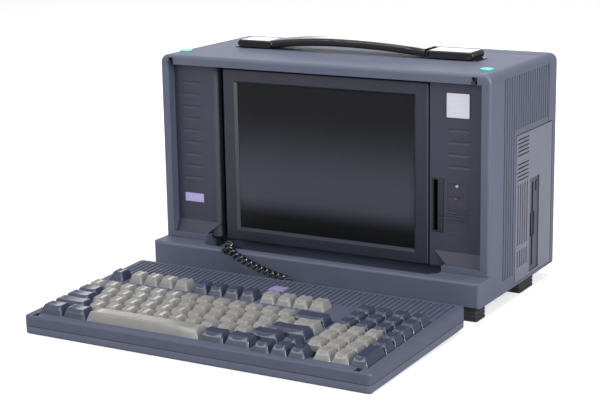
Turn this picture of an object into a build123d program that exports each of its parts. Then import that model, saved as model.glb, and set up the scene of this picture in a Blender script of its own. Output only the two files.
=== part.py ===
"""Portable computer: a lunchbox case with a display, a carrying handle and a detached keyboard."""
from build123d import *
import os
from math import atan2, cos, degrees, pi, radians, sin, sqrt

os.makedirs("parts", exist_ok=True)

# Case, in millimetres: X to the right, Y to the back, Z up
case_width = 396.0
case_height = 233.5
case_depth = 184.0
foot_height = 15.5
wall = 3.0
top_radius = 9.0
bottom_radius = 5.0
front_edge_radius = 4.0
rear_edge_radius = 7.0
seam_gap = 0.4
seat_gap = 0.3
running_clearance = 0.06
main_shell_depth = 157.0
rear_panel_inset = 8.0
rear_panel_thickness = 2.5
rear_flange_width = 13.0
rear_flange_depth = 3.0
rear_panel_step = 4.5
screw_radius = 1.5
screw_head_radius = 2.8
screw_head_height = 1.8
screw_inset = 12.0

# Ledge that the stowed keyboard stands on, with the trough for its cord
ledge_depth = 25.5
ledge_height = 26.5
ledge_edge_radius = 3.0
trough_end = 43.5
trough_front_wall = 11.0
trough_back = 33.0
trough_depth = 22.0
trough_wall = 2.5
trough_corner = 9.0
cord_notch_offset = 28.4
cord_notch_width = 14.0
cord_notch_depth = 5.5

# Front opening, its sleeve and the notches that the latch hooks reach through
opening_side = 10.5
opening_roof = 10.5
sill_height = 6.0
sleeve_wall = 2.5
sleeve_depth = 12.0
notch_width = 6.0
notch_height = 7.5
left_notch_inset = 3.5
right_notch_inset = 8.0

# Fine upright ribs in the case's sides
band_depth = 32.0
rib_pitch = 6.2
rib_groove = 3.0
rib_depth = 0.8
rib_count = 20
rib_lower_margin = 14.0

# Access panel in the right side, with its vents
panel_front = 66.5
panel_back = 169.0
panel_roof = 72.0
panel_lip = 4.0
panel_rim = 2.0
vent_front = 71.0
vent_length = 31.0
vent_slot = 2.6
upper_vent_drops = (14.0, 40.5)
upper_vent_size = 21.0
middle_vent_height = 91.0
middle_vent_size = 66.0
lower_vent_height = 43.0
lower_vent_size = 18.0
vent_slot_count = 5

# 3.5 inch disk drive, standing on its edge behind the access panel
drive_width = 101.6
drive_thickness = 25.4
drive_length = 147.0
drive_front = 107.5
drive_rail = 2.0
drive_sheet = 1.2
drive_bezel_thickness = 4.0
drive_bezel_recess = 1.0
disk_slot = 4.6
disk_slot_length = 92.0
disk_slot_depth = 95.0
disk_slot_offset = 9.0
finger_notch = 13.0
finger_notch_length = 26.0
finger_notch_depth = 1.6
eject_button_width = 5.0
eject_button_height = 11.0
eject_button_length = 9.0
eject_button_proud = 1.0
eject_travel = 3.0

# Display, a 10.4 inch panel in a tilting housing
screen_width = 211.2
screen_height = 158.4
screen_drop = 0.25
screen_reveal = 1.2
display_width = 248.0
display_bottom = 43.5
display_gap = 2.5
display_front = 11.0
bezel_depth = 13.0
bezel_wall = 3.0
bezel_slope = 3.0
display_depth = 25.0
display_wall = 2.5
display_radius = 2.5
glass_border = 3.0
glass_thickness = 1.5
lcd_border = 10.0
lcd_thickness = 8.0
lcd_post = 8.0
tilt_axis_behind = 28.5
tilt_axis_drop = 6.0
tilt_pin_radius = 2.0
tilt_pin_inner = 6.0
tilt_pin_outer = 5.5
tilt_boss_radius = 4.0
tilt_ear_gap = 2.0
tilt_ear = 3.0
tilt_ear_radius = 6.0

# Front panels beside the display
panel_sheet = 2.5
panel_seat = 2.5
panel_curl = 10.0
left_panel_gap = 8.0
right_panel_gap = 1.5
panel_foot_height = 44.5
ramp_overlap = 3.0
ramp_rise = 13.0
ramp_front = 6.5
louvre_length = 23.0
louvre_height = 3.6
louvre_depth = 1.3
left_louvre_inset = 21.7
left_louvre_bottom = 108.0
left_louvre_count = 9
left_louvre_pitch = 13.4
right_louvre_inset = 29.3
right_louvre_bottom = 148.4
right_louvre_count = 4
right_louvre_pitch = 12.7
badge_size = 25.0
badge_drop = 24.3
badge_thickness = 1.2
label_width = 24.4
label_height = 9.6
label_thickness = 0.6
label_middle = 87.3
cell_inset = 30.3
cell_width = 25.0
cell_height = 12.2
cell_pitch = 13.2
cell_bottom = 87.6
cell_depth = 0.8
cell_rib_count = 4
lens_radius = 1.6
lens_length = 5.0
lens_proud = 0.4
lens_rise = 3.8
power_lens_shift = -1.0
disk_lens_shift = -2.4

# Card cage beside the display, with its eject button
card_width = 54.0
card_slot = 5.2
card_slot_bottom = 81.8
card_cage_shift = 2.4
card_cage_front = 12.6
card_cage_length = 86.0
card_cage_wall = 1.2
card_cage_rail = 7.2
card_bar_proud = 0.6
card_button_width = 4.2
card_button_height = 14.8
card_button_proud = 1.0
card_button_length = 22.0
card_button_gap = 0.2
card_travel = 3.0

# Carrying handle: a strap between two links that are hinged on brackets
handle_behind = 95.0
handle_width = 30.0
handle_pin_left = -142.5
handle_pin_right = 138.5
left_link_pitch = 36.0
right_link_pitch = 43.0
link_height = 8.6
link_cheek = 2.4
link_skin = 0.9
link_edge_radius = 1.2
link_rest_gap = 0.7
strap_thickness = 8.6
strap_rise = 6.3
strap_peak_x = -20.0
strap_edge_radius = 2.5
strap_slack = 3.8
strap_shoulder_gap = 0.6
handle_pin_radius = 2.0
rivet_slot_gap = 0.4
bracket_base = 1.2
bracket_stem = 4.8
handle_side_gap = 0.3

# Latches: a button in the top carries a hook that reaches through the notch
latch_button_radius = 7.0
latch_button_behind = 35.0
latch_button_shifts = (-2.0, -1.5)
latch_button_proud = 1.2
latch_travel = 1.5
latch_stem_radius = 3.0
hook_width = 3.6
hook_sheet = 2.4
hook_arm_drop = 6.2
hook_finger_drop = 9.6
hook_reach = 4.1
hook_tip = 1.0
hook_tip_rise = 1.2

# Feet
foot_inset = 5.0
front_foot_length = 40.0
front_foot_depth = 23.0
front_foot_front = -20.0
rear_foot_length = 33.0
rear_foot_depth = 38.0
rear_foot_front = 95.0
foot_groove = 1.6
foot_groove_count = 4

# Parts inside the case
chassis_sheet = 1.5
chassis_front = 40.0
chassis_back = 172.0
chassis_roof = 10.0
board_thickness = 1.6
board_standoff = 5.0
board_width = 242.0
board_height = 140.0
board_bottom = 60.0
supply_sheet = 1.2
supply_width = 128.0
supply_height = 92.0
supply_depth = 112.0
supply_inset = 10.0
hard_disk_length = 147.0
hard_disk_width = 101.6
hard_disk_height = 25.4
card_pitch = 20.32
first_card_height = 150.0
card_count = 2
card_length = 178.0
card_depth = 107.0
socket_height = 12.0
socket_width = 9.0
socket_slot_depth = 8.0
fan_size = 80.0
fan_depth = 25.0
fan_bore = 37.0
fan_hub = 15.0
fan_blades = 7
fan_inset = 128.0
fan_drop = 63.0
fan_shaft = 2.0
fan_blade = 1.6
fan_blade_pitch = 35.0
inlet_inset = 38.0
inlet_height = 48.0
inlet_width = 27.0
inlet_tall = 20.0
inlet_depth = 16.0
switch_inset = 78.0
switch_width = 13.0
switch_tall = 19.0
rocker_depth = 7.0
port_heights = (60.0, 84.0, 108.0)
port_x = 0.0
port_width = 31.0
port_tall = 9.0

# Keyboard, on its own plane that rises to the back
keyboard_width = 391.0
keyboard_depth = 203.0
keyboard_front_height = 19.0
keyboard_rear_height = 23.0
keyboard_gap = 28.5
keyboard_tilt = 1.2
lower_shell_height = 8.3
keyboard_radius = 4.5
keyboard_chamfer = 1.4
keyboard_edge = 2.0
keyboard_wall = 2.5
seam_chamfer = 0.6
pad_height = 0.4
pad_front = 8.0
pad_length = 24.0
pad_width = 8.0
key_pitch = 19.05
key_gap = 0.85
key_taper = 3.7
key_front_slope = 3.7
key_rear_slope = 1.3
key_height = 8.6
key_sink = 1.0
key_wall = 1.3
key_dish = 0.7
key_dish_rim = 0.6
key_window_gap = 0.4
key_rows_start = 12.8
key_block_width = 19.5
function_row = 6.1
stem_radius = 2.8
stem_clearance = 0.3
stem_length = 9.4
key_plate_depth = 6.2
key_plate_thickness = 1.5
key_post_radius = 3.0
keyboard_board_height = 3.5
groove_pitch = 6.0
groove_width = 2.6
groove_depth = 0.8
groove_gap = 6.0
groove_margin = 6.0
keyboard_label_x = -1.5
keyboard_label_inset = 30.0
keyboard_label_width = 17.5
keyboard_label_length = 14.6
catch_width = 6.0
catch_front = 3.0
catch_length = 8.0
flip_axis_inset = 15.0
flip_axis_height = 4.2
flip_foot_inset = 45.5
flip_foot_width = 30.0
flip_foot_thickness = 4.4
flip_pin_radius = 1.5
plug_width = 11.0
plug_height = 10.0
plug_length = 14.0
plug_bottom = 10.5
plug_offset = 118.0
plug_gap = 0.2
boss_radius = 4.0
boss_inset = 25.5
boss_front = 30.0
boss_rear = 73.0
board_side = 12.0
board_front_margin = 13.0
board_rear_margin = 52.0
post_inset = 55.5
post_front = 6.0
post_gap = 4.5

# Curly cord and its socket in the trough; the route is given from the socket's middle along X,
# from the case's front plane along Y and from the table along Z
coil_radius = 3.3
cord_wire = 3.2
coil_pitch = 7.2
coil_opening = 18.0
gland_width = 12.0
gland_depth = 10.0
gland_height = 16.0
gland_inset = 14.0
gland_front = 12.0
gland_exit_height = 29.0
cord_route = [
    (2.5, 0.5, 32.0),
    (10.0, -5.0, 36.0),
    (18.0, -8.5, 40.0),
    (25.0, -12.5, 45.5),
    (28.5, -20.5, 47.0),
    (32.5, -28.0, 45.0),
    (42.0, -32.5, 41.0),
    (55.0, -35.0, 36.5),
    (71.0, -36.5, 31.5),
    (87.0, -36.0, 26.5),
    (102.0, -33.5, 22.5),
    (113.5, -37.0, 20.8),
]

# Places worked out from the sizes above
slope = degrees(atan2(keyboard_rear_height - keyboard_front_height, keyboard_depth))
tilt = radians(keyboard_tilt)
keyboard_run = keyboard_depth * cos(tilt) - keyboard_rear_height * sin(tilt)
keyboard_lean = (keyboard_front_height - keyboard_edge) * sin(tilt)
reach = ledge_depth + keyboard_gap + keyboard_run + keyboard_lean
front_y = (reach - case_depth) / 2
side_x = case_width / 2
case_bottom = foot_height
case_top = foot_height + case_height
inner_floor = case_bottom + wall
ledge_top = case_bottom + ledge_height
opening_bottom = ledge_top + sill_height
opening_top = case_top - opening_roof
opening_width = case_width - 2 * opening_side
opening_height = opening_top - opening_bottom
opening_middle = (opening_bottom + opening_top) / 2
latch_x = (left_notch_inset - opening_width / 2, opening_width / 2 - right_notch_inset)
latch_button_x = [x + shift for x, shift in zip(latch_x, latch_button_shifts)]
hook_arm_height = case_top - hook_arm_drop
hook_finger_height = case_top - hook_finger_drop
trough_half_width = opening_width / 2 - trough_end
gland_x = gland_inset - trough_half_width
cord_notch_x = gland_x + cord_notch_offset
plug_x = gland_x + plug_offset
ramp_edge = trough_half_width + ramp_overlap
ramp_top = opening_bottom + ramp_rise
left_louvre_x = left_louvre_inset - opening_width / 2
right_louvre_x = opening_width / 2 - right_louvre_inset
cell_x = opening_width / 2 - cell_inset
power_lens_x = cell_x + power_lens_shift
disk_lens_x = cell_x + disk_lens_shift
badge_height = opening_top - badge_drop
left_panel_edge = -display_width / 2 - left_panel_gap
right_panel_edge = display_width / 2 + right_panel_gap
panel_top = case_top - panel_roof
upper_vent_heights = [panel_top - drop for drop in upper_vent_drops]
chassis_top = case_top - chassis_roof
supply_right = supply_inset + supply_width - side_x
fan_x = fan_inset - side_x
fan_height = case_top - fan_drop
inlet_x = inlet_inset - side_x
switch_x = switch_inset - side_x
trough_front = trough_front_wall - ledge_depth
trough_floor = ledge_top - trough_depth
rear_panel_front = case_depth - rear_panel_inset
panel_bottom = inner_floor + seam_gap
base_top = inner_floor + chassis_sheet
drive_bottom = base_top + drive_rail
display_top = opening_top - display_gap
display_middle = (display_bottom + display_top) / 2
screen_middle = display_middle - screen_drop
tilt_axis_height = display_top - tilt_axis_drop
display_height = display_top - display_bottom
display_back_front = display_front + bezel_depth
board_front = chassis_front + chassis_sheet + board_standoff
board_back = board_front + board_thickness
handle_axis = case_top + link_rest_gap + link_height / 2
keyboard_y = front_y - reach + keyboard_lean
keyboard_z = pad_height * cos(tilt) - pad_front * sin(tilt)
keyboard_plane = Plane(
    origin=(0, keyboard_y, keyboard_z), x_dir=(1, 0, 0), z_dir=(0, -sin(tilt), cos(tilt))
)
deck_angle = tilt + radians(slope)
deck = Plane(
    origin=keyboard_plane.from_local_coords(Vector(0, 0, keyboard_front_height)),
    x_dir=(1, 0, 0),
    z_dir=(0, -sin(deck_angle), cos(deck_angle)),
)
first_key_x = -key_block_width * key_pitch / 2
key_rows_end = key_rows_start + (function_row + 1) * key_pitch
groove_front = key_rows_end + groove_gap
groove_back = keyboard_depth - groove_margin
keyboard_label_middle = keyboard_depth - keyboard_label_inset
flip_axis = keyboard_depth - flip_axis_inset
flip_foot_x = keyboard_width / 2 - flip_foot_inset


def behind(distance):
    """Y of a place this far behind the case's front plane."""
    return front_y + distance


def section(distance):
    """Upright plane across the case, seen from the front, this far behind its front plane."""
    return Plane(origin=(0, behind(distance), 0), x_dir=(1, 0, 0), z_dir=(0, -1, 0))


def level(height):
    """Level plane at this height, with its origin on the case's front plane."""
    return Plane(origin=(0, front_y, height), x_dir=(1, 0, 0), z_dir=(0, 0, 1))


def side(x):
    """Upright plane facing right: its first coordinate runs behind the front, its second up."""
    return Plane(origin=(x, front_y, 0), x_dir=(0, 1, 0), z_dir=(1, 0, 0))


def write(part, name):
    """Label the finished piece and write its STEP file."""
    part.label = name
    export_step(part, f"parts/{name}.step")


def case_outline(inset=0.0):
    """Face of the case's section, drawn this much inside its outer surface."""
    half = side_x - inset
    bottom = case_bottom + inset
    top = case_top - inset
    with BuildSketch(Plane.XY) as outline:
        Polygon((-half, bottom), (half, bottom), (half, top), (-half, top), align=None)
        corners = outline.vertices().group_by(Axis.Y)
        fillet(corners[-1], max(top_radius - inset, 1.0))
        fillet(corners[0], max(bottom_radius - inset, 1.0))
    return outline.sketch


outer_outline = case_outline()
inner_outline = case_outline(wall)

# Main shell: the front frame, its ledge, top, floor and ribbed sides in one moulding
with BuildPart() as main_shell:
    with BuildSketch(section(0)):
        add(outer_outline)
    extrude(amount=-main_shell_depth)
    fillet(main_shell.faces().sort_by(Axis.Y)[0].edges(), front_edge_radius)
    with BuildSketch(section(-ledge_depth)):
        with Locations((0, (case_bottom + ledge_top) / 2)):
            Rectangle(case_width, ledge_height)
    extrude(amount=-(ledge_depth + front_edge_radius))
    ledge_front = main_shell.faces().sort_by(Axis.Y)[0]
    fillet(ledge_front.edges(), ledge_edge_radius)
    with BuildSketch(section(wall)):
        add(inner_outline)
    extrude(amount=-(main_shell_depth - wall), mode=Mode.SUBTRACT)
    with BuildSketch(section(wall - ledge_depth)):
        with Locations((0, (inner_floor + ledge_top - wall) / 2)):
            Rectangle(case_width - 2 * wall, ledge_height - 2 * wall)
    extrude(amount=-ledge_depth, mode=Mode.SUBTRACT)
    with BuildSketch(section(0)):
        with Locations((0, opening_middle)):
            Rectangle(opening_width + 2 * sleeve_wall, opening_height + 2 * sleeve_wall)
    extrude(amount=-sleeve_depth)
    trough_length = trough_back - trough_front
    trough_middle = (trough_front + trough_back) / 2
    with BuildSketch(level(trough_floor - trough_wall)):
        with Locations((0, trough_middle)):
            Rectangle(2 * (trough_half_width + trough_wall), trough_length + 2 * trough_wall)
    extrude(amount=trough_depth + trough_wall)
    with BuildSketch(level(trough_floor)):
        with Locations((0, sleeve_depth / 2)):
            Rectangle(2 * (trough_half_width + trough_wall), sleeve_depth)
    extrude(amount=trough_depth + sill_height)
    with BuildSketch(section(0)):
        with Locations((0, opening_middle)):
            Rectangle(opening_width, opening_height)
    extrude(amount=-sleeve_depth, mode=Mode.SUBTRACT)
    with BuildSketch(level(trough_floor)) as trough:
        with Locations((0, trough_middle)):
            Rectangle(2 * trough_half_width, trough_length)
        chamfer(trough.vertices().group_by(Axis.Y)[0], trough_corner)
    extrude(amount=trough_depth + sill_height, mode=Mode.SUBTRACT)
    with BuildSketch(section(-ledge_depth)):
        with Locations((cord_notch_x, ledge_top)):
            RectangleRounded(cord_notch_width, 2 * cord_notch_depth, cord_notch_depth - 0.5)
    extrude(amount=-(trough_front_wall + 1), mode=Mode.SUBTRACT)
    with BuildSketch(section(0)):
        with Locations(*[(x, opening_top) for x in latch_x]):
            Rectangle(notch_width, notch_height, align=(Align.CENTER, Align.MIN))
    extrude(amount=-wall, mode=Mode.SUBTRACT)
    with BuildSketch(section(0)):
        with Locations(*[(x, opening_top) for x in latch_x]):
            Rectangle(notch_width, sleeve_wall, align=(Align.CENTER, Align.MIN))
    extrude(amount=-sleeve_depth, mode=Mode.SUBTRACT)
    with BuildSketch(level(case_top)):
        with Locations(*[(x, latch_button_behind) for x in latch_button_x]):
            Circle(latch_button_radius + seam_gap)
    extrude(amount=-(wall + latch_travel), mode=Mode.SUBTRACT)
    rib_bottom = case_bottom + rib_lower_margin
    rib_top = case_top - top_radius
    for sign in (-1, 1):
        with BuildSketch(side(sign * side_x)):
            for index in range(rib_count):
                rib_y = band_depth + rib_pitch * (index + 0.5)
                beside_panel = sign > 0 and rib_y > panel_front - rib_pitch
                low = panel_top + rib_pitch if beside_panel else rib_bottom
                with Locations((rib_y, (low + rib_top) / 2)):
                    Rectangle(rib_groove, rib_top - low)
        extrude(amount=-sign * rib_depth, mode=Mode.SUBTRACT)
    with BuildSketch(side(side_x)):
        with Locations((panel_front, inner_floor)):
            Rectangle(case_depth, panel_top - inner_floor, align=(Align.MIN, Align.MIN))
    extrude(amount=-wall, mode=Mode.SUBTRACT)
write(main_shell.part, "main_shell")

# Rear frame, a ring behind the seam, with an inner flange that the rear panel is screwed to
rear_frame_front = main_shell_depth + seam_gap
screw_places = [
    (x, z)
    for x in (screw_inset - side_x, 0, side_x - screw_inset)
    for z in (case_bottom + screw_inset, case_top - screw_inset)
]
with BuildPart() as rear_frame:
    with BuildSketch(section(rear_frame_front)):
        add(outer_outline)
    extrude(amount=-(case_depth - rear_frame_front))
    fillet(rear_frame.faces().sort_by(Axis.Y)[-1].edges(), rear_edge_radius)
    with BuildSketch(section(rear_frame_front)):
        add(inner_outline)
    extrude(amount=-(rear_panel_front - rear_flange_depth - rear_frame_front), mode=Mode.SUBTRACT)
    with BuildSketch(section(rear_panel_front - rear_flange_depth)):
        add(case_outline(wall + rear_flange_width))
    extrude(amount=-(rear_flange_depth + rear_panel_inset), mode=Mode.SUBTRACT)
    with BuildSketch(section(rear_panel_front)):
        add(case_outline(wall + rear_panel_step))
    extrude(amount=-rear_panel_inset, mode=Mode.SUBTRACT)
    with BuildSketch(section(rear_panel_front - rear_flange_depth)):
        with Locations(*screw_places):
            Circle(screw_radius + running_clearance)
    extrude(amount=-rear_flange_depth, mode=Mode.SUBTRACT)
    with BuildSketch(side(side_x)):
        with Locations((rear_frame_front, inner_floor)):
            Rectangle(
                panel_back - rear_frame_front, panel_top - inner_floor, align=(Align.MIN, Align.MIN)
            )
    extrude(amount=-wall, mode=Mode.SUBTRACT)
write(rear_frame.part, "rear_frame")

# Rear panel with the fan grille and the cut-outs for inlet, switch and ports
with BuildPart() as rear_panel:
    with BuildSketch(section(rear_panel_front)):
        add(case_outline(wall + rear_panel_step + seat_gap))
        with Locations(*screw_places):
            Circle(screw_radius + seat_gap, mode=Mode.SUBTRACT)
        with Locations((inlet_x, inlet_height)):
            Rectangle(inlet_width + 2 * seat_gap, inlet_tall + 2 * seat_gap, mode=Mode.SUBTRACT)
        with Locations((switch_x, inlet_height)):
            Rectangle(switch_width + 2 * seat_gap, switch_tall + 2 * seat_gap, mode=Mode.SUBTRACT)
        with Locations(*[(port_x, z) for z in port_heights]):
            RectangleRounded(port_width, port_tall, 2, mode=Mode.SUBTRACT)
        with Locations((fan_x, fan_height)):
            with HexLocations(4.2, 7, 7):
                Circle(3.2, mode=Mode.SUBTRACT)
    extrude(amount=-rear_panel_thickness)
    for sign in (-1, 1):
        ear_x = switch_x + sign * (switch_width / 2 + seat_gap)
        with BuildSketch(side(ear_x)):
            with Locations((rear_panel_front - rocker_depth / 2, inlet_height)):
                Rectangle(rocker_depth, 6)
                Circle(1 + running_clearance, mode=Mode.SUBTRACT)
        extrude(amount=sign * 1.5)
write(rear_panel.part, "rear_panel")

# Screws of the rear panel
with BuildPart() as case_screws:
    with BuildSketch(section(rear_panel_front + rear_panel_thickness)):
        with Locations(*screw_places):
            Circle(screw_head_radius)
    extrude(amount=-screw_head_height)
    with BuildSketch(section(rear_panel_front - rear_flange_depth)):
        with Locations(*screw_places):
            Circle(screw_radius)
    extrude(amount=-(rear_flange_depth + rear_panel_thickness))
write(case_screws.part, "case_screws")

# Access panel with louvred vents and the opening for the drive's bezel
with BuildPart() as side_access_panel:
    inner_x = side_x - wall
    plate_front = panel_front + seam_gap
    plate_back = panel_back - seam_gap
    plate_top = panel_top - seam_gap
    with BuildSketch(section(plate_front)):
        add(outer_outline)
    extrude(amount=-(plate_back - plate_front))
    with BuildSketch(side(inner_x)):
        with Locations(((plate_front + plate_back) / 2, (panel_bottom + plate_top) / 2)):
            Rectangle(plate_back - plate_front, plate_top - panel_bottom)
    extrude(amount=wall, mode=Mode.INTERSECT)
    with BuildSketch(side(inner_x)):
        with Locations(((plate_front + plate_back) / 2, panel_bottom)):
            Rectangle(
                plate_back - plate_front + 2 * panel_lip,
                plate_top - panel_bottom + panel_lip,
                align=(Align.CENTER, Align.MIN),
            )
            Rectangle(
                plate_back - plate_front - 2 * panel_lip,
                plate_top - panel_bottom - panel_lip,
                align=(Align.CENTER, Align.MIN),
                mode=Mode.SUBTRACT,
            )
    extrude(amount=-panel_rim)
    with BuildSketch(side(side_x)):
        for vent_z in upper_vent_heights:
            with Locations((vent_front + vent_length / 2, vent_z)):
                with GridLocations(0, upper_vent_size / vent_slot_count, 1, vent_slot_count):
                    Rectangle(vent_length, vent_slot / 2)
        with Locations((vent_front + vent_length / 2, middle_vent_height)):
            with GridLocations(vent_length / vent_slot_count, 0, vent_slot_count, 1):
                Rectangle(vent_slot, middle_vent_size)
        with Locations((vent_front + vent_length / 2, lower_vent_height)):
            with GridLocations(vent_length / vent_slot_count, 0, vent_slot_count, 1):
                Rectangle(vent_slot, lower_vent_size)
        with Locations((drive_front + drive_thickness / 2, drive_bottom + drive_width / 2)):
            Rectangle(drive_thickness + 2 * seat_gap, drive_width + 2 * seat_gap)
    extrude(amount=-(wall + panel_rim), mode=Mode.SUBTRACT)
write(side_access_panel.part, "side_access_panel")


def louvres(x, bottom, count, pitch):
    """Wedge-shaped recesses, one above the other, to be cut from a front panel."""
    with BuildPart() as wedges:
        for index in range(count):
            low = bottom + index * pitch
            with BuildSketch(side(x - louvre_length / 2)):
                Polygon(
                    (sleeve_depth - 0.1, low),
                    (sleeve_depth + louvre_depth, low + louvre_height),
                    (sleeve_depth - 0.1, low + louvre_height),
                    align=None,
                )
            extrude(amount=louvre_length)
    return wedges.part


def ramp(sign):
    """Sloping foot of a front panel, from its face down to the sill, with a slanting inner end."""
    outer_x = opening_width / 2 - seat_gap
    inner_x = display_width / 2 + left_panel_gap
    with BuildPart() as foot:
        with BuildSketch(side(sign * outer_x)):
            Polygon(
                (sleeve_depth, ramp_top),
                (sleeve_depth + panel_sheet, ramp_top),
                (sleeve_depth + panel_sheet, opening_bottom),
                (ramp_front, opening_bottom),
                align=None,
            )
        extrude(amount=sign * (inner_x - outer_x))
        with BuildSketch(section(0)):
            Polygon(
                (sign * ramp_edge, opening_bottom),
                (sign * inner_x, opening_bottom),
                (sign * inner_x, ramp_top - 1),
                align=None,
            )
        extrude(amount=-2 * sleeve_depth, mode=Mode.SUBTRACT)
    return foot.part


# Left front panel: its edge beside the display curls back; louvres, a bare label, a sloping foot
panel_outer = opening_width / 2 + panel_seat
with BuildPart() as left_front_panel:
    curl_x = left_panel_edge - panel_curl
    with BuildSketch(level(panel_foot_height)) as left_panel_face:
        with BuildLine():
            Line((-panel_outer, sleeve_depth), (curl_x, sleeve_depth))
            CenterArc((curl_x, sleeve_depth + panel_curl), panel_curl, -90, 90)
            Line(
                (left_panel_edge, sleeve_depth + panel_curl),
                (left_panel_edge - panel_sheet, sleeve_depth + panel_curl),
            )
            CenterArc((curl_x, sleeve_depth + panel_curl), panel_curl - panel_sheet, 0, -90)
            Line((curl_x, sleeve_depth + panel_sheet), (-panel_outer, sleeve_depth + panel_sheet))
            Line((-panel_outer, sleeve_depth + panel_sheet), (-panel_outer, sleeve_depth))
        make_face()
    extrude(amount=opening_top + panel_seat - panel_foot_height)
    with BuildSketch(side(-panel_outer)):
        with Locations((0, panel_foot_height)):
            Rectangle(case_depth, opening_bottom - panel_foot_height, align=(Align.MIN, Align.MIN))
    extrude(amount=panel_outer - trough_half_width + seat_gap, mode=Mode.SUBTRACT)
    add(ramp(-1))
    add(
        louvres(left_louvre_x, left_louvre_bottom, left_louvre_count, left_louvre_pitch),
        mode=Mode.SUBTRACT,
    )
write(left_front_panel.part, "left_front_panel")

# Right front panel: louvres, four cells with the indicators, an opening for the card cage
cage_left = right_panel_edge + card_cage_shift
cage_right = cage_left + card_cage_wall + card_slot + card_cage_rail
cage_bottom = card_slot_bottom - card_cage_wall
cage_top = card_slot_bottom + card_width + card_cage_wall
cell_heights = [cell_bottom + index * cell_pitch for index in range(4)]
power_lens_height = cell_heights[3] + lens_rise
disk_lens_height = cell_heights[2] + lens_rise
with BuildPart() as right_front_panel:
    with BuildSketch(section(sleeve_depth)):
        Polygon(
            (right_panel_edge, panel_foot_height),
            (trough_half_width - seat_gap, panel_foot_height),
            (trough_half_width - seat_gap, opening_bottom),
            (panel_outer, opening_bottom),
            (panel_outer, opening_top + panel_seat),
            (right_panel_edge, opening_top + panel_seat),
            align=None,
        )
        with Locations(((cage_left + cage_right) / 2, (cage_bottom + cage_top) / 2)):
            Rectangle(
                cage_right - cage_left + 2 * seat_gap,
                cage_top - cage_bottom + 2 * seat_gap,
                mode=Mode.SUBTRACT,
            )
        with Locations((power_lens_x, power_lens_height), (disk_lens_x, disk_lens_height)):
            Circle(lens_radius + running_clearance, mode=Mode.SUBTRACT)
    extrude(amount=-panel_sheet)
    add(ramp(1))
    add(
        louvres(right_louvre_x, right_louvre_bottom, right_louvre_count, right_louvre_pitch),
        mode=Mode.SUBTRACT,
    )
    with BuildSketch(section(sleeve_depth)):
        with Locations(*[(cell_x, z) for z in cell_heights]):
            Rectangle(cell_width, cell_height)
        with Locations((cell_x, cell_heights[1])):
            with GridLocations(0, cell_height / cell_rib_count, 1, cell_rib_count):
                Rectangle(cell_width, cell_height / cell_rib_count / 2, mode=Mode.SUBTRACT)
    extrude(amount=-cell_depth, mode=Mode.SUBTRACT)
write(right_front_panel.part, "right_front_panel")

# Badge plate and blank label on the front panels
with BuildPart() as badge_plate:
    with BuildSketch(section(sleeve_depth)):
        with Locations((cell_x, badge_height)):
            RectangleRounded(badge_size, badge_size, 1)
    extrude(amount=badge_thickness)
write(badge_plate.part, "badge_plate")

with BuildPart() as label_plate:
    with BuildSketch(section(sleeve_depth)):
        with Locations((left_louvre_x, label_middle)):
            Rectangle(label_width, label_height)
    extrude(amount=label_thickness)
write(label_plate.part, "label_plate")

# Indicator lenses, each a rod through the floor of its cell
for lens_name, lens_x, lens_z in (
    ("power_lens", power_lens_x, power_lens_height),
    ("disk_lens", disk_lens_x, disk_lens_height),
):
    with BuildPart() as lens:
        with BuildSketch(section(sleeve_depth - lens_proud)):
            with Locations((lens_x, lens_z)):
                Circle(lens_radius)
        extrude(amount=-lens_length)
    write(lens.part, lens_name)

# Card cage: the slot for a card, a raised bar and the pocket of the eject button
button_x = cage_left + card_cage_wall + card_slot + card_cage_rail / 2 - 0.2
button_z = card_slot_bottom + card_button_height / 2 + 0.6
with BuildPart() as card_cage:
    with BuildSketch(section(card_cage_front)):
        with Locations(((cage_left + cage_right) / 2, (cage_bottom + cage_top) / 2)):
            Rectangle(cage_right - cage_left, cage_top - cage_bottom)
    extrude(amount=-card_cage_length)
    bar_bottom = button_z + card_button_height / 2 + 1
    with BuildSketch(section(card_cage_front)):
        with Locations((button_x, bar_bottom)):
            Rectangle(card_cage_rail - 1, cage_top - bar_bottom, align=(Align.CENTER, Align.MIN))
    extrude(amount=card_bar_proud)
    with BuildSketch(section(card_cage_front)):
        with Locations((cage_left + card_cage_wall + card_slot / 2, card_slot_bottom + card_width / 2)):
            Rectangle(card_slot, card_width)
    extrude(amount=-(card_cage_length - card_cage_wall), mode=Mode.SUBTRACT)
    with BuildSketch(section(card_cage_front)):
        with Locations((button_x, button_z)):
            Rectangle(card_button_width + 2 * card_button_gap, card_button_height + 2 * card_button_gap)
    extrude(amount=-(card_button_length + card_travel), mode=Mode.SUBTRACT)
write(card_cage.part, "card_cage")

with BuildPart() as card_eject_button:
    with BuildSketch(section(card_cage_front - card_button_proud)):
        with Locations((button_x, button_z)):
            Rectangle(card_button_width, card_button_height)
    extrude(amount=-(card_button_proud + card_button_length - card_button_gap))
    fillet(card_eject_button.faces().sort_by(Axis.Y)[0].edges(), 0.8)
write(card_eject_button.part, "card_eject_button")

# Display bezel with its sloping window
window_width = screen_width + 2 * screen_reveal
window_height = screen_height + 2 * screen_reveal
with BuildPart() as display_bezel:
    with BuildSketch(section(display_front)):
        with Locations((0, display_middle)):
            RectangleRounded(display_width, display_height, display_radius)
    extrude(amount=-bezel_depth)
    fillet(display_bezel.faces().sort_by(Axis.Y)[0].edges(), display_radius - 0.5)
    with BuildSketch(section(display_front + bezel_wall)):
        with Locations((0, display_middle)):
            Rectangle(display_width - 2 * display_wall, display_height - 2 * display_wall)
    extrude(amount=-(bezel_depth - bezel_wall), mode=Mode.SUBTRACT)
    with BuildSketch(section(display_front)):
        with Locations((0, screen_middle)):
            Rectangle(window_width + 2 * bezel_slope, window_height + 2 * bezel_slope)
    with BuildSketch(section(display_front + bezel_wall)):
        with Locations((0, screen_middle)):
            Rectangle(window_width, window_height)
    loft(mode=Mode.SUBTRACT)
write(display_bezel.part, "display_bezel")

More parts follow.
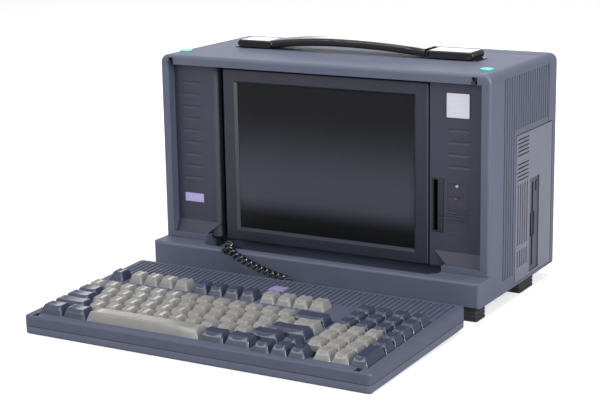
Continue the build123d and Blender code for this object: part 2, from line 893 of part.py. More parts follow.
# Display glass, the panel behind it and the rear housing with its posts and pin bosses
glass_front = display_front + bezel_wall
lcd_front = glass_front + glass_thickness
lcd_back = lcd_front + lcd_thickness
with BuildPart() as display_glass:
    with BuildSketch(section(glass_front)):
        with Locations((0, screen_middle)):
            Rectangle(window_width + 2 * glass_border, window_height + 2 * glass_border)
    extrude(amount=-glass_thickness)
write(display_glass.part, "display_glass")

lcd_width = screen_width + 2 * lcd_border
lcd_height = screen_height + 2 * lcd_border
with BuildPart() as lcd_panel:
    with BuildSketch(section(lcd_front)):
        with Locations((0, screen_middle)):
            Rectangle(lcd_width, lcd_height)
    extrude(amount=-lcd_thickness)
write(lcd_panel.part, "lcd_panel")

with BuildPart() as display_housing:
    back_wall = display_front + display_depth - display_wall
    with BuildSketch(section(display_back_front)):
        with Locations((0, display_middle)):
            RectangleRounded(display_width, display_height, display_radius)
    extrude(amount=-(display_depth - bezel_depth))
    fillet(display_housing.faces().sort_by(Axis.Y)[-1].edges(), display_radius - 0.5)
    with BuildSketch(section(display_back_front)):
        with Locations((0, display_middle)):
            Rectangle(display_width - 2 * display_wall, display_height - 2 * display_wall)
    extrude(amount=-(back_wall - display_back_front), mode=Mode.SUBTRACT)
    with BuildSketch(section(lcd_back)):
        with Locations((0, screen_middle)):
            with GridLocations(lcd_width - lcd_post, lcd_height - lcd_post, 2, 2):
                Rectangle(lcd_post, lcd_post)
    extrude(amount=-(back_wall - lcd_back))
    for sign in (-1, 1):
        with BuildSketch(side(sign * (display_width / 2 - tilt_pin_inner))):
            with Locations((tilt_axis_behind, tilt_axis_height)):
                Circle(tilt_boss_radius)
        extrude(amount=sign * (tilt_pin_inner - 1))
        with BuildSketch(side(sign * (display_width / 2 - tilt_pin_inner))):
            with Locations((tilt_axis_behind, tilt_axis_height)):
                Circle(tilt_pin_radius)
        extrude(amount=sign * tilt_pin_inner, mode=Mode.SUBTRACT)
write(display_housing.part, "display_housing")

with BuildPart() as display_pins:
    for sign in (-1, 1):
        with BuildSketch(side(sign * (display_width / 2 - tilt_pin_inner))):
            with Locations((tilt_axis_behind, tilt_axis_height)):
                Circle(tilt_pin_radius)
        extrude(amount=sign * (tilt_pin_inner + tilt_pin_outer))
write(display_pins.part, "display_pins")

# Chassis: a base sheet, an upright sheet with the display's ears, drive rails and standoffs
board_middle = board_bottom + board_height / 2
with BuildPart() as chassis:
    base_front = trough_back + trough_wall + seam_gap
    with BuildSketch(level(inner_floor)):
        with Locations((0, base_front)):
            Rectangle(
                2 * (side_x - 2 * wall), chassis_back - base_front, align=(Align.CENTER, Align.MIN)
            )
    extrude(amount=chassis_sheet)
    with BuildSketch(section(chassis_front)):
        with Locations((0, inner_floor)):
            Rectangle(
                2 * (side_x - 3 * wall), chassis_top - inner_floor, align=(Align.CENTER, Align.MIN)
            )
        with Locations(((cage_left + cage_right) / 2, (cage_bottom + cage_top) / 2)):
            Rectangle(
                cage_right - cage_left + 2 * seat_gap,
                cage_top - cage_bottom + 2 * seat_gap,
                mode=Mode.SUBTRACT,
            )
    extrude(amount=-chassis_sheet)
    with BuildSketch(section(chassis_front + chassis_sheet)):
        with Locations((0, board_middle)):
            with GridLocations(board_width / 2 - 5, board_height - 10, 3, 2):
                Circle(3)
    extrude(amount=-board_standoff)
    for sign in (-1, 1):
        with BuildSketch(side(sign * (display_width / 2 + tilt_ear_gap))):
            with Locations((tilt_axis_behind, tilt_axis_height)):
                Circle(tilt_ear_radius)
                Rectangle(
                    chassis_front - tilt_axis_behind,
                    2 * tilt_ear_radius,
                    align=(Align.MIN, Align.CENTER),
                )
                Circle(tilt_pin_radius + running_clearance, mode=Mode.SUBTRACT)
        extrude(amount=sign * tilt_ear)
    with BuildSketch(level(base_top)):
        with Locations((side_x - drive_length / 2, drive_front + drive_thickness / 2)):
            with GridLocations(drive_length - 50, 0, 2, 1):
                Rectangle(20, drive_thickness)
    extrude(amount=drive_rail)
write(chassis.part, "chassis")

# Latches: button with its stem, and the hook beneath it
for latch_name, x, button_place in zip(("left_latch", "right_latch"), latch_x, latch_button_x):
    with BuildPart() as latch_button:
        with BuildSketch(level(hook_arm_height + hook_sheet)):
            with Locations((button_place, latch_button_behind)):
                Circle(latch_stem_radius)
        extrude(amount=case_top - wall - hook_arm_height - hook_sheet)
        with BuildSketch(level(case_top - wall)):
            with Locations((button_place, latch_button_behind)):
                Circle(latch_button_radius)
        extrude(amount=wall + latch_button_proud)
        fillet(latch_button.edges().sort_by(Axis.Z)[-1], latch_button_proud - 0.1)
    write(latch_button.part, f"{latch_name}_button")
    with BuildPart() as latch_hook:
        arm_top = hook_arm_height + hook_sheet
        finger_top = hook_finger_height + hook_sheet
        with BuildSketch(side(x - hook_width / 2)):
            Polygon(
                (-hook_reach, hook_finger_height),
                (-hook_reach, finger_top + hook_tip_rise),
                (hook_tip - hook_reach, finger_top + hook_tip_rise),
                (hook_tip - hook_reach, finger_top),
                (wall + seat_gap, finger_top),
                (wall + seat_gap, arm_top),
                (latch_button_behind + latch_stem_radius, arm_top),
                (latch_button_behind + latch_stem_radius, hook_arm_height),
                (sleeve_depth / 2, hook_arm_height),
                (sleeve_depth / 2, hook_finger_height),
                align=None,
            )
        extrude(amount=hook_width)
    write(latch_hook.part, f"{latch_name}_hook")

# Handle brackets, each a base plate with a lug and its pin
lug_width = handle_width - 2 * (link_cheek + handle_side_gap)
link_inner_width = handle_width - 2 * link_cheek
lug_radius = link_height / 2 - link_skin - handle_side_gap
tongue_radius = lug_radius - 0.1
pin_places = (handle_pin_left, handle_pin_right)
handle_front = handle_behind - handle_width / 2
with BuildPart() as handle_brackets:
    with BuildSketch(level(case_top)):
        with Locations(*[(x, handle_behind) for x in pin_places]):
            Rectangle(2 * link_height, lug_width)
    extrude(amount=bracket_base)
    with BuildSketch(section(handle_behind - lug_width / 2)):
        for x in pin_places:
            with Locations((x, handle_axis)):
                Circle(lug_radius)
                Rectangle(bracket_stem, handle_axis - case_top, align=(Align.CENTER, Align.MAX))
    extrude(amount=-lug_width)
    with BuildSketch(section(handle_front)):
        with Locations(*[(x, handle_axis) for x in pin_places]):
            Circle(handle_pin_radius)
    extrude(amount=-handle_width)
write(handle_brackets.part, "handle_brackets")


def handle_link(pin_x, pitch, sign):
    """Hollow link with round ends, open below and at its inner end; sign points inward."""
    length = pitch + link_height
    middle = pin_x + sign * pitch / 2
    inner_pin_x = pin_x + sign * pitch
    with BuildPart() as link:
        with BuildSketch(section(handle_front)):
            with Locations((middle, handle_axis)):
                SlotOverall(length, link_height)
        extrude(amount=-handle_width)
        top = link.faces().filter_by(Axis.Z).sort_by(Axis.Z)[-1]
        fillet(top.edges().filter_by(Axis.X), link_edge_radius)
        with BuildSketch(section(handle_front + link_cheek)):
            with Locations((middle, handle_axis)):
                SlotOverall(length - 2 * link_skin, link_height - 2 * link_skin)
            with Locations((middle, handle_axis - seat_gap)):
                Rectangle(length + 2, link_height, align=(Align.CENTER, Align.MAX))
            with Locations((inner_pin_x, handle_axis)):
                Rectangle(
                    link_height,
                    link_height - 2 * link_skin,
                    align=(Align.MIN if sign > 0 else Align.MAX, Align.CENTER),
                )
        extrude(amount=-link_inner_width, mode=Mode.SUBTRACT)
        with BuildSketch(section(handle_front)):
            with Locations((pin_x, handle_axis)):
                Circle(handle_pin_radius + running_clearance)
        extrude(amount=-handle_width, mode=Mode.SUBTRACT)
    return link.part


# Left link with its rivet, right link with the slot that the strap's rivet slides in
strap_left = handle_pin_left + left_link_pitch
strap_right = handle_pin_right - right_link_pitch
with BuildPart() as left_handle_link:
    add(handle_link(handle_pin_left, left_link_pitch, 1))
    with BuildSketch(section(handle_front)):
        with Locations((strap_left, handle_axis)):
            Circle(handle_pin_radius)
    extrude(amount=-handle_width)
write(left_handle_link.part, "left_handle_link")

with BuildPart() as right_handle_link:
    add(handle_link(handle_pin_right, right_link_pitch + strap_slack, -1))
    slot_half = handle_pin_radius + rivet_slot_gap
    with BuildSketch(section(handle_front)):
        with Locations((strap_right - strap_slack / 2, handle_axis)):
            SlotOverall(strap_slack + 2 * slot_half, 2 * slot_half)
    extrude(amount=-handle_width, mode=Mode.SUBTRACT)
write(right_handle_link.part, "right_handle_link")


def arch(height):
    """Two arcs that meet level at the strap's peak, this far above the handle's axis."""
    left_span = strap_peak_x - strap_left
    right_span = strap_right - strap_peak_x
    left_radius = (left_span**2 + strap_rise**2) / (2 * strap_rise)
    right_radius = (right_span**2 + strap_rise**2) / (2 * strap_rise)
    peak = handle_axis + strap_rise + height
    left_low = (strap_left, handle_axis + height)
    right_low = (strap_right, handle_axis + height)
    RadiusArc(left_low, (strap_peak_x, peak), left_radius)
    RadiusArc((strap_peak_x, peak), right_low, right_radius)
    return left_low, right_low


# Handle strap: an arched grip with a tongue at each end, bored at the left, riveted at the right
with BuildPart() as handle_strap:
    with BuildSketch(section(handle_front)):
        with BuildLine():
            upper_left, upper_right = arch(strap_thickness / 2)
            lower_left, lower_right = arch(-strap_thickness / 2)
            Line(upper_left, lower_left)
            Line(upper_right, lower_right)
        make_face()
    extrude(amount=-handle_width)
    fillet(handle_strap.edges().filter_by(GeomType.CIRCLE), strap_edge_radius)
    shoulder = link_height / 2 + strap_shoulder_gap
    left_shoulder = strap_left + shoulder
    right_shoulder = strap_right - strap_slack - shoulder
    with BuildSketch(level(case_top)):
        for x, align in ((left_shoulder, Align.MAX), (right_shoulder, Align.MIN)):
            with Locations((x, handle_behind)):
                Rectangle(4 * shoulder, 2 * handle_width, align=(align, Align.CENTER))
    extrude(amount=4 * strap_thickness, mode=Mode.SUBTRACT)
    with BuildSketch(section(handle_behind - lug_width / 2)):
        for x, end, align in (
            (strap_left, left_shoulder + 2, Align.MIN),
            (strap_right, right_shoulder - 2, Align.MAX),
        ):
            with Locations((x, handle_axis)):
                Circle(tongue_radius)
                Rectangle(abs(end - x), 2 * tongue_radius, align=(align, Align.CENTER))
        with Locations((strap_left, handle_axis)):
            Circle(handle_pin_radius + running_clearance, mode=Mode.SUBTRACT)
    extrude(amount=-lug_width)
    with BuildSketch(section(handle_front)):
        with Locations((strap_right, handle_axis)):
            Circle(handle_pin_radius)
    extrude(amount=-handle_width)
write(handle_strap.part, "handle_strap")


def rubber_feet(length, depth, front, middle_x):
    """Pair of block feet with grooves round their sides."""
    with BuildPart() as feet:
        with BuildSketch(level(0)):
            with Locations((-middle_x, front + depth / 2), (middle_x, front + depth / 2)):
                RectangleRounded(length, depth, 2)
        extrude(amount=foot_height)
        for index in range(foot_groove_count):
            groove_z = (index + 0.7) * foot_height / foot_groove_count
            with BuildSketch(level(groove_z)):
                with Locations((-middle_x, front + depth / 2), (middle_x, front + depth / 2)):
                    Rectangle(length + 2, depth + 2)
                    RectangleRounded(
                        length - foot_groove, depth - foot_groove, 2, mode=Mode.SUBTRACT
                    )
            extrude(amount=foot_groove, mode=Mode.SUBTRACT)
    return feet.part


# Rubber feet under the ledge and under the back of the case
front_foot_x = side_x - foot_inset - front_foot_length / 2
rear_foot_x = side_x - foot_inset - rear_foot_length / 2
write(rubber_feet(front_foot_length, front_foot_depth, front_foot_front, front_foot_x), "front_feet")
write(rubber_feet(rear_foot_length, rear_foot_depth, rear_foot_front, rear_foot_x), "rear_feet")

# Disk drive: a sheet metal body on its edge, a bezel with slot and finger notch, eject button
drive_middle_y = drive_front + drive_thickness / 2
drive_middle_z = drive_bottom + drive_width / 2
bezel_outer = side_x - drive_bezel_recess
bezel_inner = bezel_outer - drive_bezel_thickness
slot_y = drive_front + disk_slot_offset
eject_y = drive_front + drive_thickness - eject_button_width / 2 - 3
eject_z = drive_bottom + drive_width - eject_button_height / 2 - 5
eject_room = eject_button_length + eject_travel + card_button_gap
with BuildPart() as disk_drive:
    with BuildSketch(side(bezel_inner)):
        with Locations((drive_middle_y, drive_middle_z)):
            Rectangle(drive_thickness, drive_width)
    extrude(amount=-drive_length)
    with BuildSketch(side(bezel_inner)):
        with Locations((drive_middle_y, drive_middle_z)):
            Rectangle(drive_thickness - 2 * drive_sheet, drive_width - 2 * drive_sheet)
    extrude(amount=-(drive_length - drive_sheet), mode=Mode.SUBTRACT)
write(disk_drive.part, "disk_drive")

with BuildPart() as drive_bezel:
    with BuildSketch(side(bezel_inner)):
        with Locations((drive_middle_y, drive_middle_z)):
            Rectangle(drive_thickness, drive_width)
    extrude(amount=drive_bezel_thickness)
    guide_wall = drive_sheet
    with BuildSketch(side(bezel_inner)):
        with Locations((slot_y, drive_middle_z)):
            Rectangle(disk_slot + 2 * guide_wall, disk_slot_length + 2 * guide_wall)
    extrude(amount=-disk_slot_depth)
    with BuildSketch(side(bezel_inner)):
        with Locations((eject_y, eject_z)):
            Rectangle(
                eject_button_width + 2 * guide_wall, eject_button_height + 2 * guide_wall
            )
    extrude(amount=drive_bezel_thickness - eject_room - guide_wall)
    with BuildSketch(side(bezel_outer)):
        with Locations((slot_y, drive_middle_z)):
            Rectangle(disk_slot, disk_slot_length)
    extrude(amount=-(drive_bezel_thickness + disk_slot_depth - guide_wall), mode=Mode.SUBTRACT)
    with BuildSketch(side(bezel_outer)):
        with Locations((slot_y, drive_middle_z)):
            Rectangle(finger_notch, finger_notch_length)
    extrude(amount=-finger_notch_depth, mode=Mode.SUBTRACT)
    with BuildSketch(side(bezel_outer)):
        with Locations((eject_y, eject_z)):
            Rectangle(
                eject_button_width + 2 * card_button_gap,
                eject_button_height + 2 * card_button_gap,
            )
    extrude(amount=-eject_room, mode=Mode.SUBTRACT)
write(drive_bezel.part, "drive_bezel")

with BuildPart() as drive_eject_button:
    with BuildSketch(side(bezel_outer + eject_button_proud)):
        with Locations((eject_y, eject_z)):
            Rectangle(eject_button_width, eject_button_height)
    extrude(amount=-(eject_button_length + eject_button_proud - card_button_gap))
    fillet(drive_eject_button.faces().sort_by(Axis.X)[-1].edges(), 0.6)
write(drive_eject_button.part, "drive_eject_button")

# Main board on the upright sheet, with sockets for the expansion cards and a few chips
card_heights = [first_card_height + index * card_pitch for index in range(card_count)]
card_left = side_x - 3 * wall - card_length
socket_length = board_width / 2 - card_left - 2
socket_x = card_left + socket_length / 2 + 1
with BuildPart() as main_board:
    with BuildSketch(section(board_front)):
        with Locations((0, board_middle)):
            Rectangle(board_width, board_height)
    extrude(amount=-board_thickness)
    with BuildSketch(section(board_back)):
        with Locations(*[(socket_x, z) for z in card_heights]):
            Rectangle(socket_length, socket_width)
            Rectangle(socket_length - 4, board_thickness + 2 * seat_gap, mode=Mode.SUBTRACT)
    extrude(amount=-socket_height)
    with BuildSketch(section(board_back)):
        with Locations(*[(socket_x, z) for z in card_heights]):
            Rectangle(socket_length, socket_width)
    extrude(amount=-(socket_height - socket_slot_depth))
    with BuildSketch(section(board_back)):
        with Locations((-80, 92), (-30, 92), (20, 92), (70, 92), (-80, 160), (-40, 160)):
            Rectangle(26, 26)
    extrude(amount=-4)
write(main_board.part, "main_board")

with BuildPart() as expansion_cards:
    card_front = board_back + socket_height - socket_slot_depth + seat_gap
    for card_z in card_heights:
        with BuildSketch(level(card_z - board_thickness / 2)):
            with Locations((card_left + 3, card_front)):
                Rectangle(socket_length - 6, socket_slot_depth + 2, align=(Align.MIN, Align.MIN))
            with Locations((card_left, card_front + socket_slot_depth + 1)):
                Rectangle(card_length, card_depth - socket_slot_depth, align=(Align.MIN, Align.MIN))
        extrude(amount=board_thickness)
        with BuildSketch(level(card_z + board_thickness / 2)):
            with Locations((card_left + card_length / 2, card_front + card_depth / 2)):
                with GridLocations(36, 34, 4, 2):
                    Rectangle(22, 16)
        extrude(amount=3)
        with BuildSketch(side(card_left + card_length)):
            with Locations((card_front + card_depth / 2 + 4, card_z)):
                Rectangle(card_depth, card_pitch - 2)
        extrude(amount=1)
write(expansion_cards.part, "expansion_cards")

# Power supply: a sheet metal box with vents in its roof and an open rear
supply_x = supply_right - supply_width / 2
supply_front = chassis_back - supply_depth
with BuildPart() as power_supply:
    with BuildSketch(level(base_top)):
        with Locations((supply_x, chassis_back - supply_depth / 2)):
            Rectangle(supply_width, supply_depth)
    extrude(amount=supply_height)
    with BuildSketch(level(base_top + supply_sheet)):
        with Locations((supply_x, supply_front + supply_sheet)):
            Rectangle(
                supply_width - 2 * supply_sheet, supply_depth, align=(Align.CENTER, Align.MIN)
            )
    extrude(amount=supply_height - 2 * supply_sheet, mode=Mode.SUBTRACT)
    with BuildSketch(level(base_top + supply_sheet)):
        with Locations((supply_x, supply_front + supply_depth / 3)):
            with GridLocations(30, 0, 3, 1):
                Rectangle(22, 40)
    extrude(amount=supply_height / 2)
write(power_supply.part, "power_supply")

# Hard disk on the power supply
with BuildPart() as hard_disk:
    disk_left = supply_right - supply_width
    with BuildSketch(level(base_top + supply_height)):
        with Locations((disk_left, supply_front + 4)):
            Rectangle(hard_disk_length, hard_disk_width, align=(Align.MIN, Align.MIN))
    extrude(amount=hard_disk_height)
    fillet(hard_disk.edges().filter_by(Axis.Z), 3)
    with BuildSketch(level(base_top + supply_height)):
        with Locations((disk_left + hard_disk_length / 2, supply_front + 4 + hard_disk_width / 2)):
            Rectangle(hard_disk_length - 12, hard_disk_width - 12)
    extrude(amount=hard_disk_height / 3, mode=Mode.SUBTRACT)
write(hard_disk.part, "hard_disk")

# Fan behind the rear panel's grille: a frame with a post on spokes, and the rotor on it
fan_front = rear_panel_front - fan_depth
rotor_gap = 1.0
spoke_depth = 2.0
rotor_back = rear_panel_front - spoke_depth - rotor_gap
rotor_length = fan_depth - spoke_depth - rotor_gap - 5.5
with BuildPart() as fan_frame:
    with BuildSketch(section(fan_front)):
        with Locations((fan_x, fan_height)):
            RectangleRounded(fan_size, fan_size, 4)
            Circle(fan_bore, mode=Mode.SUBTRACT)
    extrude(amount=-fan_depth)
    with BuildSketch(section(rear_panel_front)):
        with Locations((fan_x, fan_height)):
            Circle(fan_hub - 2)
            Rectangle(2 * fan_bore + 2, 4)
            Rectangle(4, 2 * fan_bore + 2)
    extrude(amount=spoke_depth)
    with BuildSketch(section(rotor_back - rotor_length + 3)):
        with Locations((fan_x, fan_height)):
            Circle(fan_shaft)
    extrude(amount=-(rear_panel_front - rotor_back + rotor_length - 3))
write(fan_frame.part, "fan_frame")

with BuildPart() as fan_rotor:
    with BuildSketch(section(rotor_back - rotor_length)):
        with Locations((fan_x, fan_height)):
            Circle(fan_hub)
    extrude(amount=-rotor_length)
    rotor_middle = behind(rotor_back - rotor_length / 2)
    for index in range(fan_blades):
        angle = 2 * pi * index / fan_blades
        outward = (cos(angle), 0, sin(angle))
        root = (fan_x + (fan_hub - 1) * outward[0], rotor_middle, fan_height + (fan_hub - 1) * outward[2])
        with BuildSketch(Plane(origin=root, x_dir=(0, 1, 0), z_dir=outward)):
            Rectangle(rotor_length - 3, fan_blade, rotation=fan_blade_pitch)
        extrude(amount=fan_bore - fan_hub - 1)
    with BuildSketch(section(rotor_back)):
        with Locations((fan_x, fan_height)):
            Circle(fan_shaft + running_clearance)
    extrude(amount=rotor_length - 2, mode=Mode.SUBTRACT)
write(fan_rotor.part, "fan_rotor")

# Power inlet in the rear panel, with its three contacts
panel_face = rear_panel_front + rear_panel_thickness
with BuildPart() as power_inlet:
    with BuildSketch(section(panel_face)):
        with Locations((inlet_x, inlet_height)):
            RectangleRounded(inlet_width + 5, inlet_tall + 5, 2)
    extrude(amount=-2)
    with BuildSketch(section(panel_face)):
        with Locations((inlet_x, inlet_height)):
            Rectangle(inlet_width, inlet_tall)
    extrude(amount=inlet_depth)
    with BuildSketch(section(panel_face + 2)):
        with Locations((inlet_x, inlet_height)):
            Rectangle(inlet_width - 3, inlet_tall - 3)
    extrude(amount=inlet_depth, mode=Mode.SUBTRACT)
    with BuildSketch(section(panel_face + 2 - inlet_depth)):
        for across, upward in ((0, -2), (-7, 2), (7, 2)):
            with Locations((inlet_x + across, inlet_height + upward)):
                Rectangle(2, 4)
    extrude(amount=-(inlet_depth - 6))
write(power_inlet.part, "power_inlet")

# Power switch: a rocker on two pins
rocker_axis = rear_panel_front - rocker_depth / 2
with BuildPart() as power_switch:
    with BuildSketch(side(switch_x - switch_width / 2 + seat_gap)):
        half = switch_tall / 2 - 1
        Polygon(
            (rocker_axis, inlet_height - half + 1.5),
            (panel_face + 1.6, inlet_height - half),
            (panel_face, inlet_height),
            (panel_face - 0.4, inlet_height + half),
            (rocker_axis, inlet_height + half - 1.5),
            align=None,
        )
        with Locations((rocker_axis, inlet_height)):
            Circle(3)
    extrude(amount=switch_width - 2 * seat_gap)
    with BuildSketch(side(switch_x - switch_width / 2 - 1)):
        with Locations((rocker_axis, inlet_height)):
            Circle(1)
    extrude(amount=switch_width + 2)
write(power_switch.part, "power_switch")

# Cord gland: the socket in the trough that the cord comes out of
with BuildPart() as cord_gland:
    with BuildSketch(level(trough_floor)):
        with Locations((gland_x, gland_front + gland_depth / 2)):
            Rectangle(gland_width, gland_depth)
    extrude(amount=gland_height)
    fillet(cord_gland.edges().filter_by(Axis.Z), 1.5)
write(cord_gland.part, "cord_gland")

# Curly cord. Its axis is a smooth curve through the route's points; the wire winds round it.
cord_start = (gland_x, gland_front, gland_exit_height)
plug_z = keyboard_plane.from_local_coords(Vector(0, keyboard_depth, plug_bottom + plug_height / 2)).Z
plug_face = keyboard_plane.from_local_coords(Vector(0, keyboard_depth, plug_bottom)).Y - front_y
cord_end = (plug_x, plug_face, plug_z)
coil_start = (gland_x, gland_front - cord_wire, gland_exit_height)
coil_end = (plug_x, plug_face + cord_wire, plug_z)
route_points = [(gland_x + across, back, up) for across, back, up in cord_route]
axis_points = [coil_start] + route_points + [coil_end]
axis_steps = 40


def axis_point(position):
    """Point of the coil's axis; position counts the stretches between the route's points."""
    index = min(int(position), len(axis_points) - 2)
    part = position - index
    before, after = axis_points[index], axis_points[index + 1]
    slope_before = axis_slope(index)
    slope_after = axis_slope(index + 1)
    return tuple(
        (2 * part**3 - 3 * part**2 + 1) * before[i]
        + (part**3 - 2 * part**2 + part) * slope_before[i]
        + (3 * part**2 - 2 * part**3) * after[i]
        + (part**3 - part**2) * slope_after[i]
        for i in range(3)
    )


def axis_slope(index):
    """Slope of the coil's axis at a route point; both ends point straight along Y."""
    if index == 0:
        return (0.0, -10.0, 0.0)
    if index == len(axis_points) - 1:
        return (0.0, -14.0, 0.0)
    before, after = axis_points[index - 1], axis_points[index + 1]
    return tuple((after[i] - before[i]) / 2 for i in range(3))


def length_of(vector):
    return sqrt(sum(value * value for value in vector))


def towards(start, end):
    """Vector of length 1 from start to end."""
    gap = [end[i] - start[i] for i in range(3)]
    size = length_of(gap)
    return tuple(value / size for value in gap)


axis_count = (len(axis_points) - 1) * axis_steps
axis_lengths = [0.0]
for step in range(axis_count):
    here = axis_point(step / axis_steps)
    there = axis_point((step + 1) / axis_steps)
    axis_lengths.append(axis_lengths[-1] + length_of([there[i] - here[i] for i in range(3)]))
axis_length = axis_lengths[-1]
coil_turns = round((axis_length - coil_opening) / coil_pitch)
turn_length = (axis_length - coil_opening) / coil_turns


def axis_at(distance):
    """Place on the coil's axis at this distance along it, and the axis's direction there."""
    step = 0
    while step < axis_count - 1 and axis_lengths[step + 1] < distance:
        step += 1
    span = axis_lengths[step + 1] - axis_lengths[step]
    position = (step + (distance - axis_lengths[step]) / span) / axis_steps
    low = max(position - 0.01, 0.0)
    high = min(position + 0.01, len(axis_points) - 1.0)
    return axis_point(position), towards(axis_point(low), axis_point(high))


def distance_after(turn):
    """Distance along the coil's axis after this many turns, which lengthen towards both ends."""
    if turn > coil_turns / 2:
        return axis_length - distance_after(coil_turns - turn)
    if turn < coil_opening / (2 * turn_length):
        return sqrt(2 * coil_opening * turn_length * turn)
    return turn_length * turn + coil_opening / 2


def wire_point(turn):
    """Place of the wire's middle after this many turns; the coil opens and closes at its ends."""
    distance = distance_after(turn)
    place, along = axis_at(distance)
    opening = min(distance, axis_length - distance, coil_opening) / coil_opening
    radius = coil_radius * (3 * opening**2 - 2 * opening**3)
    size = sqrt(along[0] ** 2 + along[1] ** 2)
    across = (along[1] / size, -along[0] / size, 0.0)
    upward = (
        across[1] * along[2] - across[2] * along[1],
        across[2] * along[0] - across[0] * along[2],
        across[0] * along[1] - across[1] * along[0],
    )
    angle = 2 * pi * turn
    return tuple(
        place[i] + radius * (cos(angle) * across[i] + sin(angle) * upward[i]) for i in range(3)
    )


def wire_direction(turn):
    """Direction of the wire after this many turns."""
    if turn <= 0 or turn >= coil_turns:
        return (0.0, -1.0, 0.0)
    return towards(wire_point(turn - 0.01), wire_point(turn + 0.01))


def in_frame(point):
    """The same point with its y measured from the model's origin."""
    return Vector(point[0], behind(point[1]), point[2])


spans_per_turn = 4
span_count = coil_turns * spans_per_turn
turns = [index / spans_per_turn for index in range(span_count + 1)]
arc_radii = []
with BuildPart() as curly_cord:
    with BuildLine() as cord_path:
        Line(in_frame(cord_start), in_frame(coil_start))
        for turn, next_turn in zip(turns, turns[1:]):
            start, end = in_frame(wire_point(turn)), in_frame(wire_point(next_turn))
            start_way, end_way = Vector(wire_direction(turn)), Vector(wire_direction(next_turn))
            chord = end - start
            both = start_way + end_way
            spread = 2 * (1 - start_way.dot(end_way))
            reach_along = chord.dot(both)
            handle_length = (
                sqrt(reach_along**2 + spread * chord.dot(chord)) - reach_along
            ) / spread
            first = start + start_way * handle_length
            second = end - end_way * handle_length
            joint = (first + second) * 0.5
            arcs = (
                TangentArc(start, joint, tangent=start_way),
                TangentArc(joint, end, tangent=second - first),
            )
            arc_radii += [(round(arc.edge().radius, 2), turn) for arc in arcs]
        Line(in_frame(coil_end), in_frame(cord_end))
    with BuildSketch(Plane(origin=in_frame(cord_start), z_dir=(0, -1, 0))):
        Circle(cord_wire / 2)
    sweep(path=cord_path.wire())
write(curly_cord.part, "curly_cord")
cord_length = cord_path.wire().length
print("cord length", round(cord_length, 1), "turns", coil_turns, "least arcs", sorted(arc_radii)[:6])
print("cord volume", round(curly_cord.part.volume, 1), round(cord_length * pi * cord_wire**2 / 4, 1))
samples = [wire_point(index / 24) for index in range(coil_turns * 24 + 1)]
least_gap = min(
    length_of([samples[i][k] - samples[j][k] for k in range(3)])
    for i in range(len(samples))
    for j in range(i + 14, len(samples))
)
print("least gap between the cord's turns", round(least_gap - cord_wire, 2))

# Cord plug, seated in the keyboard's rear wall
with BuildPart() as cord_plug:
    with BuildSketch(Plane(origin=in_frame((plug_x, plug_face, plug_z)), x_dir=(1, 0, 0), z_dir=(0, 1, 0))):
        Rectangle(plug_width, plug_height - 1)
    extrude(amount=-(plug_length - 2))
write(cord_plug.part, "cord_plug")


def on_keyboard(height):
    """Plane parallel to the keyboard's underside, this far above it."""
    return keyboard_plane.offset(height)


# Keyboard lower shell, with windows for the flip feet and ears for their pins
shell_middle = keyboard_depth / 2
flip_window_front = flip_axis - 16
flip_window_back = flip_axis + 5
with BuildPart() as keyboard_bottom:
    with BuildSketch(on_keyboard(0)):
        with Locations((0, shell_middle)):
            RectangleRounded(keyboard_width, keyboard_depth, keyboard_radius)
    extrude(amount=lower_shell_height)
    ordered = keyboard_bottom.faces().sort_by(Axis.Z)
    chamfer(ordered[0].edges(), keyboard_chamfer)
    chamfer(keyboard_bottom.faces().sort_by(Axis.Z)[-1].edges(), seam_chamfer)
    with BuildSketch(on_keyboard(keyboard_wall)):
        with Locations((0, shell_middle)):
            RectangleRounded(
                keyboard_width - 2 * (keyboard_wall + seam_chamfer),
                keyboard_depth - 2 * (keyboard_wall + seam_chamfer),
                keyboard_radius - keyboard_wall,
            )
    extrude(amount=lower_shell_height, mode=Mode.SUBTRACT)
    with BuildSketch(on_keyboard(0)):
        for x in (-flip_foot_x, flip_foot_x):
            with Locations((x, flip_window_front)):
                Rectangle(
                    flip_foot_width + 1,
                    flip_window_back - flip_window_front,
                    align=(Align.CENTER, Align.MIN),
                )
    extrude(amount=keyboard_wall, mode=Mode.SUBTRACT)
    for x in (-flip_foot_x, flip_foot_x):
        for sign in (-1, 1):
            ear_x = x + sign * (flip_foot_width / 2 + 0.5)
            ear_origin = keyboard_plane.from_local_coords(Vector(ear_x, flip_axis, flip_axis_height))
            with BuildSketch(Plane(origin=ear_origin, x_dir=keyboard_plane.y_dir, z_dir=(1, 0, 0))):
                Circle(flip_pin_radius + 2)
                with Locations((0, keyboard_wall / 2 - flip_axis_height)):
                    Rectangle(
                        2 * flip_pin_radius + 4, flip_axis_height, align=(Align.CENTER, Align.MIN)
                    )
                Circle(flip_pin_radius + running_clearance, mode=Mode.SUBTRACT)
            extrude(amount=sign * 3)
    with BuildSketch(on_keyboard(keyboard_wall)):
        for x in (boss_inset - keyboard_width / 2, 0, keyboard_width / 2 - boss_inset):
            with Locations((x, boss_front), (x, keyboard_depth - boss_rear)):
                Circle(boss_radius)
    extrude(amount=keyboard_board_height - keyboard_wall)
write(keyboard_bottom.part, "keyboard_bottom")


